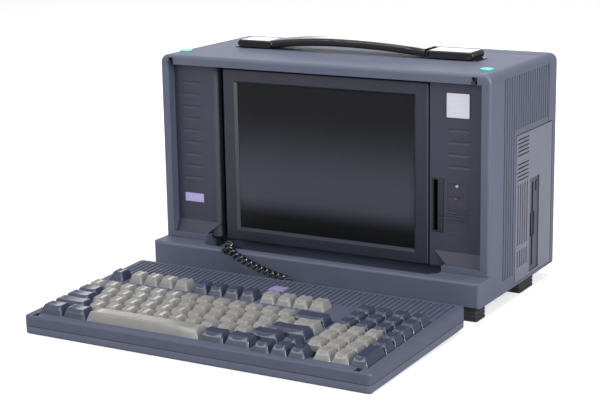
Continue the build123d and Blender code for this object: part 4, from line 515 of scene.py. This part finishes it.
def seamless_paper(name, base):
    """White studio paper: matt, with faint fibres, and a soft glow that only the camera sees."""
    material, tree, place = new_material(name)
    fibres = add_node(tree, "TexNoise", {"Scale": 1 / (1.5 * MM), "Detail": 3.0}, {"Vector": place})
    bumped = add_node(
        tree, "Bump", {"Strength": 0.1, "Distance": 0.05 * MM}, {"Height": fibres.outputs["Fac"]}
    )
    matt = add_node(
        tree, "BsdfDiffuse", {"Color": base, "Roughness": 0.9}, {"Normal": bumped.outputs["Normal"]}
    )
    glowing = add_node(tree, "Emission", {"Color": (1.0, 1.0, 1.0, 1.0), "Strength": 0.45})
    both = add_node(tree, "AddShader", {}, {0: matt.outputs["BSDF"], 1: glowing.outputs["Emission"]})
    rays = add_node(tree, "LightPath")
    chosen = add_node(
        tree, "MixShader", {},
        {0: rays.outputs["Is Camera Ray"], 1: matt.outputs["BSDF"], 2: both.outputs["Shader"]},
    )
    add_node(tree, "OutputMaterial", {}, {"Surface": chosen.outputs["Shader"]})
    return material


def dress(material, *nodes):
    """Give CAD nodes this material."""
    for name in nodes:
        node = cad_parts[name]
        node.data.materials.clear()
        node.data.materials.append(material)


def rounded_ring(half_x, half_y, corner, sides=6, corner_steps=5):
    """Points round a rectangle with round corners, as many on each side whatever its size."""
    corner = min(corner, half_x * 0.98, half_y * 0.98)
    arcs = []
    for quarter, (sign_x, sign_y) in enumerate(((1, 1), (-1, 1), (-1, -1), (1, -1))):
        middle_x = sign_x * (half_x - corner)
        middle_y = sign_y * (half_y - corner)
        angles = [pi / 2 * (quarter + step / (corner_steps - 1)) for step in range(corner_steps)]
        arcs.append([(middle_x + corner * cos(turn), middle_y + corner * sin(turn)) for turn in angles])
    points = []
    for arc, following in zip(arcs, arcs[1:] + arcs[:1]):
        points += arc
        x, y = arc[-1]
        goal_x, goal_y = following[0]
        shares = [step / sides for step in range(1, sides)]
        points += [(x + (goal_x - x) * share, y + (goal_y - y) * share) for share in shares]
    return points


def join_rings(mesh, rings):
    """Join each ring of vertices to the next one with a band of faces."""
    for near, far in zip(rings, rings[1:]):
        for index in range(len(near)):
            after = (index + 1) % len(near)
            mesh.faces.new((near[index], near[after], far[after], far[index]))


def mesh_object(context, name, mesh, material):
    """Turn an editable mesh into an object of the scene with this material."""
    data = bpy.data.meshes.new(name)
    mesh.to_mesh(data)
    mesh.free()
    data.materials.append(material)
    thing = bpy.data.objects.new(name, data)
    context.scene.collection.objects.link(thing)
    return thing


class CaseFinish(bpy.types.Operator):
    """Finish the case's mouldings, its rear frame and its feet"""
    bl_idname = "computer.case_finish"
    bl_label = "Finish the case"

    def execute(self, context):
        look = context.scene.case_look
        shell = moulded_abs("slate_textured_abs", look.shell, look.shell_edge_wear_and_highlight, look)
        dress(shell, "main_shell", "rear_frame", "keyboard_bottom")
        grey = moulded_abs(
            "grey_slate_textured_abs", look.access_panel, look.shell_edge_wear_and_highlight, look, roughness=0.42
        )
        dress(grey, "side_access_panel")
        rubber = moulded_rubber("black_moulded_rubber", look.rubber)
        dress(rubber, "front_feet", "rear_feet", "keyboard_pads")
        turquoise = moulded_abs(
            "turquoise_smooth_abs", look.buttons, linear("#9ff5ea"), look, roughness=0.32, dimple=0.02 * MM
        )
        dress(turquoise, "left_latch_button", "right_latch_button")
        return {"FINISHED"}


# Case, in metres: its front plane, where its rear frame begins, its floor, top and right side, its
# edges' radius, and its access panel's front, rear, bottom and top
CASE_FRONT = 36.415 * MM
REAR_SEAM = CASE_FRONT + 157.2 * MM
CASE_BOTTOM = 15.5 * MM
CASE_TOP = 249.0 * MM
CASE_SIDE = 198.0 * MM
CASE_ROUNDING = 8 * MM
ACCESS_PANEL = (CASE_FRONT + 66.7 * MM, CASE_FRONT + 168.8 * MM, 18.7 * MM, 176.8 * MM)

# Keyboard: its lower front corner's place and its tilt, its size, and its seam's height
KEYBOARD_ORIGIN = Vector((0.0, -220.059, 0.232)) * MM
KEYBOARD_TILT = radians(1.2)
KEYBOARD_WIDTH = 391 * MM
KEYBOARD_DEPTH = 203 * MM
KEYBOARD_CORNER = 4.5 * MM
LOWER_SHELL = 8.3 * MM

# Black strips of painted shadow in the seams: half the thickness of a strip, and half the height and the
# depth of the keyboard's seam
STRIP_RISE = 0.06 * MM
SEAM_RISE = 0.45 * MM
SEAM_DEPTH = 0.25 * MM


def add_strip(mesh, start, end, width, outward):
    """Add one straight black strip of painted shadow from start to end, in the plane that faces outward."""
    across = (end - start).normalized().cross(outward) * (width / 2)
    lift = outward * STRIP_RISE
    corners = (start - across, end - across, end + across, start + across)
    low = [mesh.verts.new(corner - lift) for corner in corners]
    high = [mesh.verts.new(corner + lift) for corner in corners]
    mesh.faces.new(high)
    mesh.faces.new(low[::-1])
    join_rings(mesh, (low, high))


class SeamShadowStrips(bpy.types.Operator):
    """Lay thin black strips of painted shadow in the seams of the case and of the keyboard"""
    bl_idname = "computer.seam_gaskets"
    bl_label = "Lay the seam gaskets"

    def execute(self, context):
        look = context.scene.case_look
        # black of the strips of painted shadow in the seams
        black = moulded_rubber("black_gasket_rubber", look.rubber)
        right = Vector((1.0, 0.0, 0.0))
        front, rear, bottom, top = ACCESS_PANEL
        outline = ((front, bottom), (front, top), (rear, top), (rear, bottom))
        corners = [Vector((CASE_SIDE, y, z)) for y, z in outline]
        seams = [(start, end, right) for start, end in zip(corners, corners[1:])]
        for side, foot in ((1.0, top), (-1.0, CASE_BOTTOM + CASE_ROUNDING)):
            seams.append((
                Vector((side * CASE_SIDE, REAR_SEAM, foot)),
                Vector((side * CASE_SIDE, REAR_SEAM, CASE_TOP - CASE_ROUNDING)),
                side * right,
            ))
        seams.append((
            Vector((-CASE_SIDE + CASE_ROUNDING, REAR_SEAM, CASE_TOP)),
            Vector((CASE_SIDE - CASE_ROUNDING, REAR_SEAM, CASE_TOP)),
            Vector((0.0, 0.0, 1.0)),
        ))
        mesh = bmesh.new()
        for start, end, outward in seams:
            add_strip(mesh, start, end, look.seam_shadow, outward)
        self.finish_seam_shadow(context, mesh, "seam_gaskets", "case", black)
        # painted shadow in the keyboard's seam: a black band level with its lower shell's top edge, inside
        # both shells' chamfers
        mesh = bmesh.new()
        half_x = KEYBOARD_WIDTH / 2 - SEAM_DEPTH
        half_y = KEYBOARD_DEPTH / 2 - SEAM_DEPTH
        rings = [
            [
                mesh.verts.new((x, y + KEYBOARD_DEPTH / 2, LOWER_SHELL + offset))
                for x, y in rounded_ring(half_x, half_y, KEYBOARD_CORNER)
            ]
            for offset in (-SEAM_RISE, SEAM_RISE)
        ]
        join_rings(mesh, rings)
        mesh.transform(Matrix.Translation(KEYBOARD_ORIGIN) @ Matrix.Rotation(KEYBOARD_TILT, 4, "X"))
        self.finish_seam_shadow(context, mesh, "keyboard_gasket", "keyboard", black)
        return {"FINISHED"}

    def finish_seam_shadow(self, context, mesh, name, body, black):
        """Turn the mesh of a strip of painted shadow into a piece that rides a body."""
        bmesh.ops.recalc_face_normals(mesh, faces=mesh.faces)
        seam_shadow = mesh_object(context, name, mesh, black)
        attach(seam_shadow, body)


class PanelFinish(bpy.types.Operator):
    """Finish the front panels, the display, the labels, the badge plate and the lenses"""
    bl_idname = "computer.panel_finish"
    bl_label = "Finish the front panels and the display"

    def execute(self, context):
        look = context.scene.case_look
        panel = moulded_abs("dark_slate_textured_abs", look.panel, linear("#6a6e80"), look)
        dress(panel, "left_front_panel", "right_front_panel")
        bezel = moulded_abs("charcoal_textured_abs", look.bezel, linear("#4a4b54"), look, roughness=0.45)
        dress(bezel, "display_bezel", "display_housing")
        # the panel behind the glass carries the same painted reflection
        dress(bonded_screen_glass("charcoal_polariser_film", look.screen), "lcd_panel")
        dress(screen_printed_film("lavender_printed_film", look.labels), "label_plate")
        dress(screen_printed_film("faded_lavender_printed_film", linear("#8f87b4")), "keyboard_label")
        dress(brushed_aluminium("brushed_anodised_aluminium", look.badge), "badge_plate")
        # both lenses glow a little by painted light, though no lamp lights them from inside
        dress(tinted_lens("green_polystyrene_lens", linear("#8fc9a0"), 0.1), "power_lens")
        dress(tinted_lens("red_polystyrene_lens", linear("#8c2440"), 0.08), "disk_lens")
        return {"FINISHED"}


# Screen's pane: the width of its ground edges, its corners' radius, and its distance from the panel
PANE_ARRIS = 0.3 * MM
PANE_CORNER = 1 * MM
PANE_GAP = 0.4 * MM


class ScreenGlass(bpy.types.Operator):
    """Set the screen's pane of matted glass, with its ground edges, before the panel"""
    bl_idname = "computer.screen_glass"
    bl_label = "Set the screen's glass"

    def execute(self, context):
        low, high = (Vector(corner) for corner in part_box("display_glass"))
        middle = (low + high) / 2
        # the pane stops just short of the panel, as the adhesive tape round a real one makes it
        back = high.y - PANE_GAP
        steps = (
            (low.y, PANE_ARRIS), (low.y + PANE_ARRIS, 0.0), (back - PANE_ARRIS, 0.0), (back, PANE_ARRIS),
        )
        mesh = bmesh.new()
        rings = []
        for y, inset in steps:
            half_x = (high.x - low.x) / 2 - inset
            half_z = (high.z - low.z) / 2 - inset
            outline = rounded_ring(half_x, half_z, PANE_CORNER)
            rings.append([mesh.verts.new((middle.x + x, y, middle.z + z)) for x, z in outline])
        join_rings(mesh, rings)
        mesh.faces.new(rings[0])
        mesh.faces.new(rings[-1][::-1])
        bmesh.ops.recalc_face_normals(mesh, faces=mesh.faces)
        # the pane carries the painted reflection, a pale slate band
        glass = bonded_screen_glass("bonded_matted_glass", context.scene.case_look.screen)
        pane = mesh_object(context, "screen_pane", mesh, glass)
        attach(pane, "display")
        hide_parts("display_glass")
        return {"FINISHED"}


class BlackPartsFinish(bpy.types.Operator):
    """Finish the handle, the drive's bezel, the card cage and the other black parts"""
    bl_idname = "computer.black_parts_finish"
    bl_label = "Finish the handle and the black parts"

    def execute(self, context):
        look = context.scene.case_look
        gloss = polished_abs("black_polished_abs", look.handle)
        dress(gloss, "handle_strap", "left_handle_link", "right_handle_link")
        black = moulded_abs("black_textured_abs", linear("#1b1c20"), linear("#45474e"), look, roughness=0.42)
        dress(
            black, "drive_eject_button", "card_eject_button", "cord_gland", "cord_plug",
            "left_latch_hook", "right_latch_hook", "fan_frame", "fan_rotor", "power_inlet", "power_switch",
            "left_keyboard_foot", "right_keyboard_foot",
        )
        slate = moulded_abs(
            "deep_slate_textured_abs", linear("#3a3d4d"), linear("#60657a"), look, roughness=0.45
        )
        dress(slate, "drive_bezel")
        ink = moulded_abs("ink_blue_textured_abs", linear("#20222e"), linear("#45485a"), look, roughness=0.42)
        dress(ink, "card_cage")
        return {"FINISHED"}


class MetalFinish(bpy.types.Operator):
    """Finish the sheet metal, the pins, the screws and the boards inside"""
    bl_idname = "computer.metal_finish"
    bl_label = "Finish the metal parts and the boards"

    def execute(self, context):
        sheet = zinc_plated_sheet("zinc_plated_sheet", linear("#9a9da2"))
        dress(sheet, "rear_panel", "chassis", "power_supply", "disk_drive", "key_plate")
        dress(turned_steel("turned_steel", linear("#b9bbbf")), "case_screws", "display_pins")
        dress(turned_steel("blued_turned_steel", linear("#3b3d45")), "handle_brackets")
        dress(cast_aluminium("tumbled_cast_aluminium", linear("#a4a6aa")), "hard_disk")
        dress(circuit_laminate("green_circuit_laminate"), "main_board", "expansion_cards", "keyboard_board")
        return {"FINISHED"}


# Deck of the keyboard: its origin at the front edge and its slope, as the solids have them
DECK_ORIGIN = Vector((0.0, -220.457, 19.228)) * MM
DECK_ANGLE = radians(2.3288)

# Keys: the front of the first row in metres, then places counted in key widths
FIRST_KEY_ROW = 12.8 * MM
KEYS_ACROSS = 19.5
PAD_COLUMN = 15.5
FUNCTION_ROW = 6.1

# Keycap: how far up its skirt's rings lie, its rolled edge's steps inward and down, how far out the
# rings of its top lie, its corners' radii at the foot, the skirt and the top, and the width from which
# a key bulges instead of being dished
SKIRT_SHARES = (0.5, 0.9)
ROLL_STEPS = ((0.0, 1.0), (0.3, 0.6), (0.7, 0.22), (1.0, 0.0))
TOP_SHARES = (0.82, 0.62, 0.42, 0.22)
FOOT_CORNER = 0.5 * MM
SKIRT_CORNER = 0.8 * MM
TOP_CORNER = 1.0 * MM
BULGING_WIDTH = 5

LIGHT_GROUPS = ("letter_keys", "space_bar", "light_function_keys", "light_pad_keys")


def key_cells():
    """Keys of each group as column, row, width and depth, counted in key widths."""
    letters = [(index, 4, 1, 1) for index in range(13)]
    letters += [(index + 1.5, 3, 1, 1) for index in range(12)] + [(13.5, 3, 1.5, 1)]
    letters += [(index + 1.75, 2, 1, 1) for index in range(11)]
    letters += [(index + 2.25, 1, 1, 1) for index in range(10)]
    commands = [
        (13, 4, 2, 1), (0, 3, 1.5, 1), (0, 2, 1.75, 1), (12.75, 2, 2.25, 1), (0, 1, 2.25, 1),
        (12.25, 1, 1.75, 1), (0, 0, 1.5, 1), (1.5, 0, 1.5, 1), (10, 0, 1.5, 1), (11.5, 0, 1.5, 1),
    ]
    light_functions = [(index + first, FUNCTION_ROW, 1, 1) for first in (1.3, 9.8) for index in range(4)]
    dark_functions = [(0, FUNCTION_ROW, 1, 1)] + [(index + 5.55, FUNCTION_ROW, 1, 1) for index in range(4)]
    arrows = [(13.25, -0.25, 1, 1), (14.25, -0.25, 1, 1), (15.25, -0.25, 1, 1), (14.25, 0.75, 1, 1)]
    dark_pad = [(PAD_COLUMN + index, row, 1, 1) for row in (FUNCTION_ROW - 0.1, 5, 4) for index in range(4)]
    dark_pad += [(PAD_COLUMN + 3, 3, 1, 1), (PAD_COLUMN + 3, 2, 1, 1)]
    light_pad = [(PAD_COLUMN + index, row, 1, 1) for row in (3, 2, 1) for index in range(3)]
    light_pad += [(PAD_COLUMN + 1, 0, 1, 1), (PAD_COLUMN + 2, 0, 1, 1)]
    return {
        "letter_keys": letters,
        "command_keys": commands,
        "space_bar": [(3, 0, 7, 1)],
        "light_function_keys": light_functions,
        "dark_function_keys": dark_functions,
        "arrow_keys": arrows,
        "dark_pad_keys": dark_pad,
        "light_pad_keys": light_pad,
        "pad_enter_key": [(PAD_COLUMN + 3, 0, 1, 2)],
    }


def add_keycap(mesh, middle_x, middle_y, width, depth, look):
    """Add one keycap: a tapering skirt, a rolled top edge and a dished top."""
    base_x = (width * look.pitch - look.gap) / 2
    base_y = (depth * look.pitch - look.gap) / 2
    top_x = base_x - look.taper
    top_y = base_y - (look.front_slope + look.rear_slope) / 2
    shift = (look.front_slope - look.rear_slope) / 2
    hollow = look.dish if width < BULGING_WIDTH else -look.dish / 2
    # half sizes, corner radius, height and shift to the rear of each ring from the foot to the top
    rings = [(base_x, base_y, FOOT_CORNER, -look.sink, 0.0)]
    for share in SKIRT_SHARES:
        rings.append((
            base_x + (top_x - base_x) * share, base_y + (top_y - base_y) * share, SKIRT_CORNER,
            -look.sink + (look.height + look.sink) * share - look.rounding * 0.2, shift * share,
        ))
    for inward, down in ROLL_STEPS:
        rings.append((
            top_x - look.rounding * inward, top_y - look.rounding * inward, TOP_CORNER,
            look.height - look.rounding * down, shift,
        ))
    inner_x, inner_y = top_x - look.rounding, top_y - look.rounding
    for share in TOP_SHARES:
        rings.append((inner_x * share, inner_y * share, TOP_CORNER * share, look.height, shift))
    loops = []
    for level, (half_x, half_y, corner, height, back) in enumerate(rings):
        loop = []
        for x, y in rounded_ring(half_x, half_y, corner):
            # the hollow begins at the rolled edge, above the foot and the skirt
            drop = 0.0
            if level > len(SKIRT_SHARES):
                drop = hollow * max(0.0, 1 - (x / inner_x) ** 2)
            loop.append(mesh.verts.new((middle_x + x, middle_y + y + back, height - drop)))
        loops.append(loop)
    join_rings(mesh, loops)
    centre = mesh.verts.new((middle_x, middle_y + shift, look.height - hollow))
    last = loops[-1]
    for index, vertex in enumerate(last):
        mesh.faces.new((vertex, last[(index + 1) % len(last)], centre))


class Keycaps(bpy.types.Operator):
    """Build every group of keycaps with rolled edges and dished tops, and finish the keyboard"""
    bl_idname = "computer.keycaps"
    bl_label = "Build the keycaps"

    def execute(self, context):
        look = context.scene.keyboard_look
        case = context.scene.case_look
        # the painted shade reaches 4 mm on the deck, so that it darkens the deck's grooves
        deck = moulded_abs("deck_textured_abs", look.deck, linear("#767b8d"), case, crevice=4 * MM)
        dress(deck, "keyboard_top")
        light = satin_pbt("beige_satin_pbt", look.light_keys)
        dark = satin_pbt("slate_satin_pbt", look.dark_keys)
        place = Matrix.Translation(DECK_ORIGIN) @ Matrix.Rotation(DECK_ANGLE, 4, "X")
        for group, cells in key_cells().items():
            mesh = bmesh.new()
            for column, row, width, depth in cells:
                middle_x = (column + width / 2 - KEYS_ACROSS / 2) * look.pitch
                middle_y = FIRST_KEY_ROW + (row + depth / 2) * look.pitch
                add_keycap(mesh, middle_x, middle_y, width, depth, look)
            mesh.transform(place)
            bmesh.ops.recalc_face_normals(mesh, faces=mesh.faces)
            caps = mesh_object(context, group + "_caps", mesh, light if group in LIGHT_GROUPS else dark)
            caps.data.shade_smooth()
            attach(caps, group + "_body")
            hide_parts(group)
        return {"FINISHED"}


# Route of the coil's axis from the gland, over the ledge's notch, to the plug, in millimetres from the
# middle of the case's front at the table
CORD_ROUTE = (
    (-130.0, 12.0, 29.0),
    (-130.0, 8.8, 29.0),
    (-129.6, 5.5, 29.4),
    (-127.5, 0.5, 32.0),
    (-120.0, -5.0, 36.0),
    (-112.0, -8.5, 40.0),
    (-105.0, -12.5, 45.5),
    (-101.5, -20.5, 47.0),
    (-97.5, -28.0, 45.0),
    (-88.0, -32.5, 41.0),
    (-75.0, -35.0, 36.5),
    (-59.0, -36.5, 31.5),
    (-43.0, -36.0, 26.5),
    (-28.0, -33.5, 22.5),
    (-16.5, -37.0, 20.8),
    (-12.0, -45.0, 20.2),
    (-12.0, -50.5, 19.98),
    (-12.0, -53.74, 19.98),
)
STEPS_PER_TURN = 16
SHORTEST_STEP = 0.05 * MM


def spline_object(name, points):
    """Curve object of one open NURBS spline with these points as its control points."""
    curve = bpy.data.curves.new(name, "CURVE")
    curve.dimensions = "3D"
    curve.resolution_u = 6
    curve.bevel_resolution = 4
    curve.use_fill_caps = True
    spline = curve.splines.new("NURBS")
    spline.points.add(len(points) - 1)
    for control, point in zip(spline.points, points):
        control.co = (*point, 1.0)
    spline.order_u = 3
    spline.use_endpoint_u = True
    thing = bpy.data.objects.new(name, curve)
    bpy.context.scene.collection.objects.link(thing)
    return thing


def mesh_of(thing):
    """New mesh of a curve object as it stands."""
    bpy.context.view_layer.update()
    return bpy.data.meshes.new_from_object(thing.evaluated_get(bpy.context.evaluated_depsgraph_get()))


def line_of(thing):
    """Points along a curve object that has no bevel."""
    mesh = mesh_of(thing)
    points = [mesh.vertices[0].co.copy()]
    for vertex in mesh.vertices:
        if (vertex.co - points[-1]).length > SHORTEST_STEP:
            points.append(vertex.co.copy())
    bpy.data.meshes.remove(mesh)
    return points


def along(points, lengths, distance):
    """Place on a line of points at this distance, and the line's direction there."""
    index = 0
    while index < len(points) - 2 and lengths[index + 1] < distance:
        index += 1
    span = lengths[index + 1] - lengths[index]
    place = points[index].lerp(points[index + 1], (distance - lengths[index]) / span)
    before = points[max(index - 1, 0)]
    after = points[min(index + 2, len(points) - 1)]
    return place, (after - before).normalized()


def helix_points(route, look):
    """Points of a wire that winds round the route and runs straight out of it at both ends."""
    lengths = [0.0]
    for before, after in zip(route, route[1:]):
        lengths.append(lengths[-1] + (after - before).length)
    lead = look.wire
    axis = lengths[-1] - 2 * lead
    turn_length = (axis - look.opening) / look.turns

    def distance_after(turn):
        """Distance along the axis after so many turns, of which the first and last are stretched."""
        if turn > look.turns / 2:
            return axis - distance_after(look.turns - turn)
        if turn < look.opening / (2 * turn_length):
            return sqrt(2 * look.opening * turn_length * turn)
        return turn_length * turn + look.opening / 2

    points = [route[0], route[0].lerp(along(route, lengths, lead)[0], 0.5)]
    steps = look.turns * STEPS_PER_TURN
    for step in range(steps + 1):
        turn = look.turns * step / steps
        distance = distance_after(turn)
        place, forward = along(route, lengths, lead + distance)
        opening = min(distance, axis - distance, look.opening) / look.opening
        radius = look.coil * (3 * opening**2 - 2 * opening**3)
        across = Vector((forward.y, -forward.x, 0.0)).normalized()
        upward = across.cross(forward)
        angle = 2 * pi * turn
        points.append(place + radius * (cos(angle) * across + sin(angle) * upward))
    points += [route[-1].lerp(along(route, lengths, lengths[-1] - lead)[0], 0.5), route[-1]]
    return points


class CurlyCord(bpy.types.Operator):
    """Wind the keyboard's cord along its route, from its gland to its plug"""
    bl_idname = "computer.curly_cord"
    bl_label = "Wind the curly cord"

    def execute(self, context):
        look = context.scene.cord_look
        controls = [Vector((x, y + CASE_FRONT / MM, z)) * MM for x, y, z in CORD_ROUTE]
        route = spline_object("cord_route", controls)
        wound = spline_object("cord_line", helix_points(line_of(route), look))
        path = line_of(wound)
        wound.data.bevel_depth = look.wire / 2
        tube = mesh_of(wound)
        tube.shade_smooth()
        tube.materials.clear()
        tube.materials.append(extruded_pvc("black_extruded_pvc", look.jacket))
        cord = bpy.data.objects.new("cord_jacket", tube)
        context.scene.collection.objects.link(cord)
        for helper in (route, wound):
            bpy.data.objects.remove(helper)
        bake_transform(cord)
        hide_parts("curly_cord")
        return {"FINISHED"}


# Camera, solved from the photograph: its place in metres, its turns, and its lens in millimetres
CAMERA_PLACE = Vector((0.79832, -1.37965, 0.48277))
CAMERA_YAW = radians(30.096)
CAMERA_PITCH = radians(-13.495)
CAMERA_ROLL = radians(-0.985)
CAMERA_LENS = 93.95
SENSOR_WIDTH = 36.0

# Floor, in metres: its front, its rear, its half width, the radius of its upward curve and its top
FLOOR_FRONT = -6.0
FLOOR_REAR = 4.0
FLOOR_SIDE = 7.0
FLOOR_CURVE = 1.5
FLOOR_TOP = 6.0
CURVE_STEPS = 8

# Point that the lamps face, and each lamp's name, place, width and height in metres, and its power
LAMP_AIM = Vector((0.0, 0.0, 0.1))
LAMPS = (
    ("top_softbox", (0.1, 0.1, 1.9), 1.6, 1.2, "top_light"),
    ("front_softbox", (-0.9, -1.9, 1.1), 1.0, 0.8, "front_light"),
    ("side_strip", (1.9, -0.6, 0.9), 0.3, 1.0, "side_light"),
    # this one glances off the handle, the key tops and the top of the case
    ("rear_strip", (-1.2, 2.1, 0.68), 1.8, 0.45, "rear_light"),
    # a bare tube that only shows in gloss, as the thin white glints on the keys and the cord
    ("glint_tube", (1.9, -1.0, 1.0), 0.15, 0.8, "glint_light"),
)


def white_surroundings(dome):
    """World that the camera and gloss see as pure white, and that lights the rest by its strength."""
    world = bpy.data.worlds.new("white_surroundings")
    world.use_nodes = True
    tree = world.node_tree
    tree.nodes.clear()
    rays = add_node(tree, "LightPath")
    seen = add_node(
        tree, "Math", {"operation": "MAXIMUM"},
        {0: rays.outputs["Is Camera Ray"], 1: rays.outputs["Is Transmission Ray"]},
    )
    shown = add_node(
        tree, "Math", {"operation": "MAXIMUM"},
        {0: seen.outputs["Value"], 1: rays.outputs["Is Glossy Ray"]},
    )
    strength = add_node(
        tree, "MapRange", {"To Min": dome, "To Max": 1.0}, {"Value": shown.outputs["Value"]}
    )
    background = add_node(
        tree, "Background", {"Color": (1.0, 1.0, 1.0, 1.0)}, {"Strength": strength.outputs["Result"]}
    )
    add_node(tree, "OutputWorld", {}, {"Surface": background.outputs["Background"]})
    return world


def add_floor(context, paper):
    """Add a floor that curves up far behind the object, so that no horizon shows."""
    turns = [pi / 2 * step / CURVE_STEPS for step in range(1, CURVE_STEPS + 1)]
    rows = [(FLOOR_FRONT, 0.0), (FLOOR_REAR, 0.0)]
    rows += [(FLOOR_REAR + FLOOR_CURVE * sin(turn), FLOOR_CURVE - FLOOR_CURVE * cos(turn)) for turn in turns]
    rows += [(FLOOR_REAR + FLOOR_CURVE, FLOOR_TOP)]
    sheet = bmesh.new()
    edges = [[sheet.verts.new((x, y, z)) for x in (-FLOOR_SIDE, FLOOR_SIDE)] for y, z in rows]
    for low, high in zip(edges, edges[1:]):
        sheet.faces.new((low[0], low[1], high[1], high[0]))
    floor = mesh_object(context, "seamless_paper", sheet, paper)
    floor.data.shade_smooth()
    # a little below the feet, so that the two surfaces don't meet
    floor.location.z = -0.2 * MM
    return floor


def add_lamp(context, name, place, width, height, watts):
    """Add a rectangular lamp that faces the object."""
    light = bpy.data.lights.new(name, "AREA")
    light.shape = "RECTANGLE"
    light.size = width
    light.size_y = height
    light.energy = watts
    lamp = bpy.data.objects.new(name, light)
    lamp.location = place
    lamp.rotation_euler = (LAMP_AIM - Vector(place)).to_track_quat("-Z", "Y").to_euler()
    context.scene.collection.objects.link(lamp)
    return lamp


def add_camera(context):
    """Add the camera that took the photograph."""
    forward = Vector((
        -sin(CAMERA_YAW) * cos(CAMERA_PITCH), cos(CAMERA_YAW) * cos(CAMERA_PITCH), sin(CAMERA_PITCH)
    ))
    right = Vector((cos(CAMERA_YAW), sin(CAMERA_YAW), 0.0))
    upward = right.cross(forward)
    rolled_right = cos(CAMERA_ROLL) * right + sin(CAMERA_ROLL) * upward
    rolled_up = cos(CAMERA_ROLL) * upward - sin(CAMERA_ROLL) * right
    lens = bpy.data.cameras.new("photo_camera")
    lens.sensor_fit = "HORIZONTAL"
    lens.sensor_width = SENSOR_WIDTH
    lens.lens = CAMERA_LENS
    camera = bpy.data.objects.new("photo_camera", lens)
    turned = Matrix((rolled_right, rolled_up, -forward)).transposed().to_4x4()
    camera.matrix_world = Matrix.Translation(CAMERA_PLACE) @ turned
    context.scene.collection.objects.link(camera)
    return camera


class Stage(bpy.types.Operator):
    """Lay a white seamless floor, hang soft lights and set the camera"""
    bl_idname = "computer.stage"
    bl_label = "Set the stage"

    def execute(self, context):
        look = context.scene.stage_look
        context.scene.view_settings.view_transform = "Standard"
        context.scene.world = white_surroundings(look.dome)
        floor = add_floor(context, seamless_paper("white_seamless_paper", look.floor))
        for name, place, width, height, key in LAMPS:
            lamp = add_lamp(context, name, place, width, height, getattr(look, key))
            lamp.visible_diffuse = name != "glint_tube"
        context.scene.camera = add_camera(context)
        return {"FINISHED"}


OPERATORS = (
    CaseFinish, SeamShadowStrips, PanelFinish, ScreenGlass, BlackPartsFinish, MetalFinish, Keycaps,
    CurlyCord, Stage,
)


class ComputerPanel(bpy.types.Panel):
    """Sizes, colours and build steps of the portable computer"""
    bl_idname = "VIEW3D_PT_portable_computer"
    bl_label = "Portable computer"
    bl_space_type = "VIEW_3D"
    bl_region_type = "UI"
    bl_category = "Computer"

    def draw(self, context):
        for name, look in LOOKS.items():
            box = self.layout.box()
            for key in look.__annotations__:
                box.prop(getattr(context.scene, name), key)
        for operator in OPERATORS:
            self.layout.operator(operator.bl_idname)


CLASSES = (*LOOKS.values(), *OPERATORS, ComputerPanel)


def register():
    for item in CLASSES:
        bpy.utils.register_class(item)
    for name, look in LOOKS.items():
        setattr(bpy.types.Scene, name, PointerProperty(type=look))


def unregister():
    for name in LOOKS:
        delattr(bpy.types.Scene, name)
    for item in reversed(CLASSES):
        bpy.utils.unregister_class(item)


def main():
    register()
    for operator in OPERATORS:
        group, name = operator.bl_idname.split(".")
        getattr(getattr(bpy.ops, group), name)()


if __name__ == "__main__":
    main()
